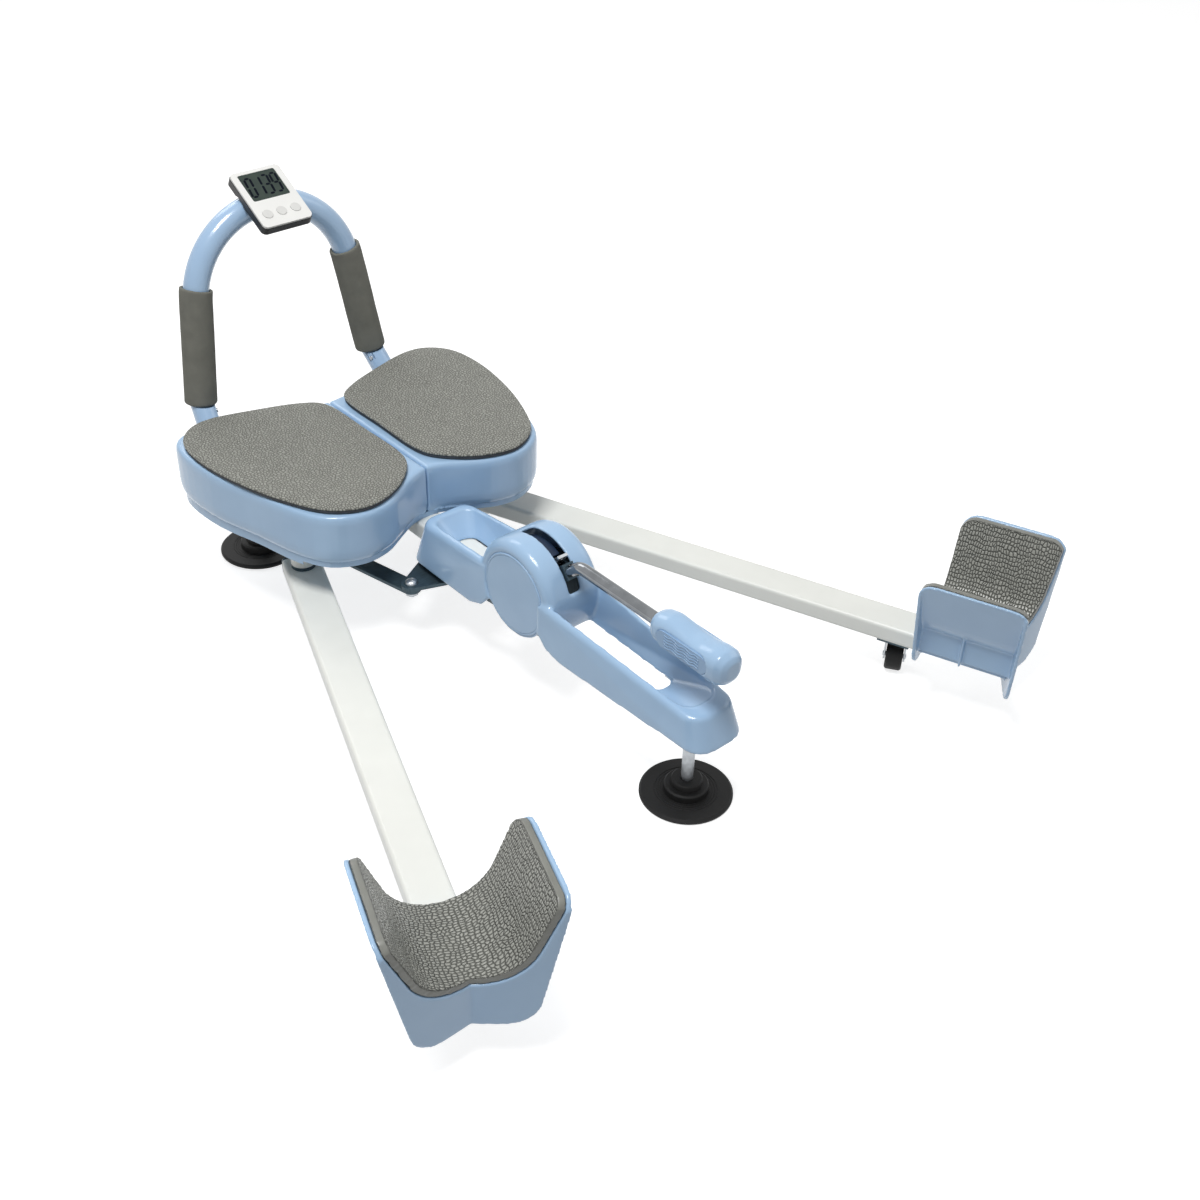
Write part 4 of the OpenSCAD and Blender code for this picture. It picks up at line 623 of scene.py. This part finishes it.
glass = display_finish("liquid_crystal_glass", ("#38423F", "#404A44"), 0.1)
ink = display_finish("liquid_crystal_strokes", ("#040811", "#080F1C"), 0.05)
bm = bmesh.new()
corner_x, corner_y = WINDOW_W / 2 - WINDOW_GAP - CORNER_R, WINDOW_H / 2 - WINDOW_GAP - CORNER_R
rim = []
for x, y, turn in ((1, 1, 0), (-1, 1, 90), (-1, -1, 180), (1, -1, 270)):
    for a in (math.radians(turn + k * 15) for k in range(7)):
        rim.append((x * corner_x + CORNER_R * math.cos(a), WINDOW_UP + y * corner_y + CORNER_R * math.sin(a)))
slab(bm, rim, GLASS_BACK, GLASS_FRONT)
on_timer("display_window", bm, glass)
print("the window's rim has", len(rim), "points")

# %% [markdown]
# ## Digits
# Each digit is made of seven strokes, so a table of which strokes are lit gives any number. The strokes lean
# a little and have pointed ends, as on most such displays.

# %% Draw the digits
SHOWN = "0139"
LIT = {"0": "abcdef", "1": "bc", "3": "abcdg", "9": "abcdfg"}
DIGIT_W, DIGIT_H, DIGIT_STEP, STROKE_HALF, LEAN, END_GAP = 6.6, 25.0, 10.2, 1.3, 0.1, 0.35
CORNERS = {"tl": (0, DIGIT_H), "tr": (DIGIT_W, DIGIT_H), "ml": (0, DIGIT_H / 2),
           "mr": (DIGIT_W, DIGIT_H / 2), "bl": (0, 0), "br": (DIGIT_W, 0)}
ENDS = {"a": "tl tr", "b": "tr mr", "c": "mr br", "d": "bl br", "e": "ml bl", "f": "tl ml", "g": "ml mr"}


def stroke(start, end, half):
    """Corners of a stroke with pointed ends."""
    a, b = Vector(start), Vector(end)
    way = (b - a).normalized()
    out = Vector((-way.y, way.x)) * half
    a, b = a + way * half * END_GAP, b - way * half * END_GAP
    return [a, a + way * half - out, b - way * half - out, b, b - way * half + out, a + way * half + out]

bm = bmesh.new()
for place, digit in enumerate(SHOWN):
    left = (place - (len(SHOWN) - 1) / 2) * DIGIT_STEP - DIGIT_W / 2
    for lit in LIT[digit]:
        first, second = (CORNERS[c] for c in ENDS[lit].split())
        shape = [(left + p.x + LEAN * (p.y - DIGIT_H / 2), WINDOW_UP - DIGIT_H / 2 + p.y)
                 for p in stroke(first, second, STROKE_HALF)]
        slab(bm, shape, GLASS_FRONT, INK_FRONT)
on_timer("display_digits", bm, ink)
print("display shows", SHOWN)

# %% [markdown]
# ## Wavy ridges on the lever grip
# The oval inlays of the grip have wavy ridges for the fingers. They repeat, so Geometry Nodes draw them:
# one line is resampled and bent into a sine wave, a point line carries copies of it up the inlay, and each
# copy gets a round section. Sizes are named inputs, so the pattern can be changed without redrawing it.

# %% Start, end and run a tree
def start_tree(name, inputs):
    """Starts a tree with named inputs, and gives back their identifiers and their sockets too."""
    tree = bpy.data.node_groups.new(name, "GeometryNodeTree")
    identifiers = {}
    for label, kind, value in inputs:
        socket = tree.interface.new_socket(name=label, in_out="INPUT", socket_type=kind)
        if value is not None:
            socket.default_value = value
        identifiers[label] = socket.identifier
    tree.interface.new_socket(name="Geometry", in_out="OUTPUT", socket_type="NodeSocketGeometry")
    return tree, identifiers, tree.nodes.new("NodeGroupInput").outputs


def end_tree(tree, shape, finish):
    """Ends a tree: copies are made real, and all gets its finish."""
    real = add(tree, "GeometryNodeRealizeInstances", links={"Geometry": shape})
    dressed = add(tree, "GeometryNodeSetMaterial", links={"Geometry": real.outputs[0], "Material": finish})
    add(tree, "NodeGroupOutput", links={"Geometry": dressed.outputs[0]})
    print(tree.name, "has", len(tree.nodes), "nodes")


def run_tree(name, tree, identifiers, values):
    """Runs a tree on an empty mesh with its inputs set, and keeps the result as a plain piece."""
    piece = bpy.data.objects.new(name, bpy.data.meshes.new(name))
    bpy.context.scene.collection.objects.link(piece)
    modifier = piece.modifiers.new("pattern", "NODES")
    modifier.node_group = tree
    for label, value in values.items():
        modifier[identifiers[label]] = value
    plain(piece)
    return piece

# %% Build the ridge tree
STEPS_IN_LINE, SECTION_SIDES = 49, 8
ridge_tree, ridge_ids, given = start_tree("wavy_ridges", (
    ("Ridges", "NodeSocketInt", 5), ("Spacing", "NodeSocketFloat", 0.003),
    ("Length", "NodeSocketFloat", 0.04), ("Wave height", "NodeSocketFloat", 0.001),
    ("Waves", "NodeSocketFloat", 3.0), ("Ridge radius", "NodeSocketFloat", 0.0005),
    ("Finish", "NodeSocketMaterial", None)))
line = add(ridge_tree, "GeometryNodeCurvePrimitiveLine", {"mode": "DIRECTION"}, {"Direction": (0, 1, 0)},
           {"Length": given["Length"]})
points = add(ridge_tree, "GeometryNodeResampleCurve", values={"Count": STEPS_IN_LINE},
             links={"Curve": line.outputs[0]})
along = add(ridge_tree, "GeometryNodeSplineParameter").outputs["Factor"]
turns = add(ridge_tree, "ShaderNodeMath", {"operation": "MULTIPLY"}, links={0: along, 1: given["Waves"]})
angle = add(ridge_tree, "ShaderNodeMath", {"operation": "MULTIPLY"}, {1: 2 * math.pi}, {0: turns.outputs[0]})
sine = add(ridge_tree, "ShaderNodeMath", {"operation": "SINE"}, links={0: angle.outputs[0]})
rise = add(ridge_tree, "ShaderNodeMath", {"operation": "MULTIPLY"},
           links={0: sine.outputs[0], 1: given["Wave height"]})
offset = add(ridge_tree, "ShaderNodeCombineXYZ", links={"Z": rise.outputs[0]})
wave = add(ridge_tree, "GeometryNodeSetPosition",
           links={"Geometry": points.outputs[0], "Offset": offset.outputs[0]})
step = add(ridge_tree, "ShaderNodeCombineXYZ", links={"Z": given["Spacing"]})
rows = add(ridge_tree, "GeometryNodeMeshLine", links={"Count": given["Ridges"], "Offset": step.outputs[0]})
section = add(ridge_tree, "GeometryNodeCurvePrimitiveCircle", values={"Resolution": SECTION_SIDES},
              links={"Radius": given["Ridge radius"]})
ridge = add(ridge_tree, "GeometryNodeCurveToMesh", values={"Fill Caps": True},
            links={"Curve": wave.outputs[0], "Profile Curve": section.outputs[0]})
copies = add(ridge_tree, "GeometryNodeInstanceOnPoints",
             links={"Points": rows.outputs[0], "Instance": ridge.outputs[0]})
end_tree(ridge_tree, copies.outputs[0], given["Finish"])

# %% [markdown]
# ## Ridges on both inlays
# The tree runs once for each inlay, and its rows are moved to the middle of that inlay's face. Both results
# become one piece, because they are details of one moulding.

# %% Lay the ridges on both inlays
RIDGES, RIDGE_STEP, RIDGE_LEN, RIDGE_R = 5, 3.0, 44.0, 0.6
RIDGE_WAVES, RIDGE_WAVE_HEIGHT = 3.0, 0.9

low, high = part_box("grip_inlay")
start_y = (low.y + high.y) / 2 - RIDGE_LEN * MM / 2
start_z = (low.z + high.z) / 2 - (RIDGES - 1) / 2 * RIDGE_STEP * MM
both = bmesh.new()
for sign in (-1, 1):
    ridges = run_tree(f"ridges_{sign}", ridge_tree, ridge_ids, {
        "Ridges": RIDGES, "Spacing": RIDGE_STEP * MM, "Length": RIDGE_LEN * MM,
        "Wave height": RIDGE_WAVE_HEIGHT * MM, "Waves": RIDGE_WAVES, "Ridge radius": RIDGE_R * MM,
        "Finish": abs_deep})
    ridges.data.transform(Matrix.Translation((sign * high.x, start_y, start_z)))
    both.from_mesh(ridges.data)
    bpy.data.objects.remove(ridges)
mesh = bpy.data.meshes.new("grip_ridges")
both.to_mesh(mesh)
both.free()
stand_for(piece_from(mesh, "grip_ridges", abs_deep), "lever", "deep_blue_plastic")
print("ridges have", len(mesh.polygons), "faces")

# %% [markdown]
# ## Rings on the rubber feet
# Each rubber foot is moulded with fine rings round its hub, which hide scratches and hold the flange stiff.
# A second tree makes them: circles of growing size, each swept with a small section. The circles are made
# real before the sweep, so that growing them doesn't make their section thicker.

# %% Build the ring tree
CIRCLE_SIDES = 96
ring_tree, ring_ids, given = start_tree("foot_rings", (
    ("Rings", "NodeSocketInt", 4), ("First radius", "NodeSocketFloat", 0.024),
    ("Spacing", "NodeSocketFloat", 0.004), ("Ring height", "NodeSocketFloat", 0.0005),
    ("Finish", "NodeSocketMaterial", None)))
dots = add(ring_tree, "GeometryNodeMeshLine", values={"Offset": (0, 0, 0)}, links={"Count": given["Rings"]})
circle = add(ring_tree, "GeometryNodeCurvePrimitiveCircle",
             values={"Resolution": CIRCLE_SIDES, "Radius": 1.0})
number = add(ring_tree, "GeometryNodeInputIndex")
growth = add(ring_tree, "ShaderNodeMath", {"operation": "MULTIPLY_ADD"},
             links={0: number.outputs[0], 1: given["Spacing"], 2: given["First radius"]})
copies = add(ring_tree, "GeometryNodeInstanceOnPoints",
             links={"Points": dots.outputs[0], "Instance": circle.outputs[0], "Scale": growth.outputs[0]})
real = add(ring_tree, "GeometryNodeRealizeInstances", links={"Geometry": copies.outputs[0]})
section = add(ring_tree, "GeometryNodeCurvePrimitiveCircle", values={"Resolution": SECTION_SIDES},
              links={"Radius": given["Ring height"]})
swept = add(ring_tree, "GeometryNodeCurveToMesh",
            links={"Curve": real.outputs[0], "Profile Curve": section.outputs[0]})
end_tree(ring_tree, swept.outputs[0], given["Finish"])

# %% Ring the three feet
RINGS, FIRST_R, RING_STEP, RING_HEIGHT = 3, 25, 2.6, 0.45
FLANGE_TOP = 5.3
FEET = (("front_foot_pad", "front_foot", "front_foot_rings"),
        ("rear_foot_pad_left", "rear_left_foot", "rear_foot_rings_left"),
        ("rear_foot_pad_right", "rear_right_foot", "rear_foot_rings_right"))

for node, body, name in FEET:
    low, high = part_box(node)
    rings = run_tree(name, ring_tree, ring_ids, {
        "Rings": RINGS, "First radius": FIRST_R * MM, "Spacing": RING_STEP * MM,
        "Ring height": RING_HEIGHT * MM, "Finish": rubber})
    middle = Vector(((low.x + high.x) / 2, (low.y + high.y) / 2, low.z + FLANGE_TOP * MM))
    rings.data.transform(Matrix.Translation(middle))
    shade_smooth(rings.data)
    stand_for(rings, body, "rubber")
print(len(FEET), "feet have their rings")

# %% [markdown]
# ## Floor and light
# The photograph is cut out on white, so the floor and the world are white to the camera, and to mirror and
# glass rays too. On the parts themselves the world gives only a weak even fill. One large soft lamp above
# draws the highlights on the tube and the housing, and weaker ones from the right and the back keep the far
# sides readable. The floor is grey to these lamps, so that it doesn't light the parts much from below.

# %% Set the floor and the world
FILL, FLOOR_GLOW = 0.24, 0.77
FLOOR_HALF, FLOOR_DROP_MM = 6, 0.6


def seen_white(tree):
    """1 for camera, glossy and transmission rays, which see the white background, and 0 for the others."""
    rays = add(tree, "ShaderNodeLightPath").outputs
    white = rays["Is Camera Ray"]
    for kind in ("Is Glossy Ray", "Is Transmission Ray"):
        either = add(tree, "ShaderNodeMath", {"operation": "MAXIMUM"}, links={0: white, 1: rays[kind]})
        white = either.outputs[0]
    return white

floor_mesh = bpy.data.meshes.new("floor")
corners = [(x * FLOOR_HALF, y * FLOOR_HALF, -FLOOR_DROP_MM * MM)
           for x, y in ((-1, -1), (1, -1), (1, 1), (-1, 1))]
floor_mesh.from_pydata(corners, [], [(0, 1, 2, 3)])
floor_finish, tree, shader = finish_of("matt_floor", "#C8C8C8", 0.9, Specular_IOR_Level=0.1)
shine = add(tree, "ShaderNodeMath", {"operation": "MULTIPLY"}, {1: FLOOR_GLOW}, {0: seen_white(tree)})
glow = add(tree, "ShaderNodeEmission", values={"Color": (1, 1, 1, 1)}, links={"Strength": shine.outputs[0]})
lit = add(tree, "ShaderNodeAddShader", links={0: shader.outputs[0], 1: glow.outputs[0]})
tree.links.new(lit.outputs[0], tree.nodes["Material Output"].inputs["Surface"])
floor = piece_from(floor_mesh, "floor", floor_finish)

world = bpy.data.worlds.new("studio")
bpy.context.scene.world = world
world.use_nodes = True
tree = world.node_tree
shown = add(tree, "ShaderNodeMapRange", values={"To Min": FILL, "To Max": 1.0},
            links={"Value": seen_white(tree)})
tree.links.new(shown.outputs[0], tree.nodes["Background"].inputs["Strength"])
tree.nodes["Background"].inputs["Color"].default_value = (1, 1, 1, 1)
print("the floor lies", FLOOR_DROP_MM, "mm below the soles")

# %% Set the lamps
def lamp(name, at, aim, size, watts):
    """A square soft lamp at a point, aimed at another."""
    made = bpy.data.objects.new(name, bpy.data.lights.new(name, "AREA"))
    bpy.context.scene.collection.objects.link(made)
    made.data.size, made.data.energy = size, watts
    made.location = at
    made.rotation_euler = (Vector(aim) - Vector(at)).to_track_quat("-Z", "Y").to_euler()

lamp("key_softbox", (-0.7, 0.0, 2.4), (0, 0.2, 0.1), 0.8, 43)
lamp("side_softbox", (1.9, -0.4, 1.5), (0, 0.3, 0.1), 1.2, 5)
lamp("back_softbox", (0.2, 2.3, 1.9), (0, 0.3, 0.1), 1.2, 12)
bpy.context.scene.view_settings.view_transform = "Standard"
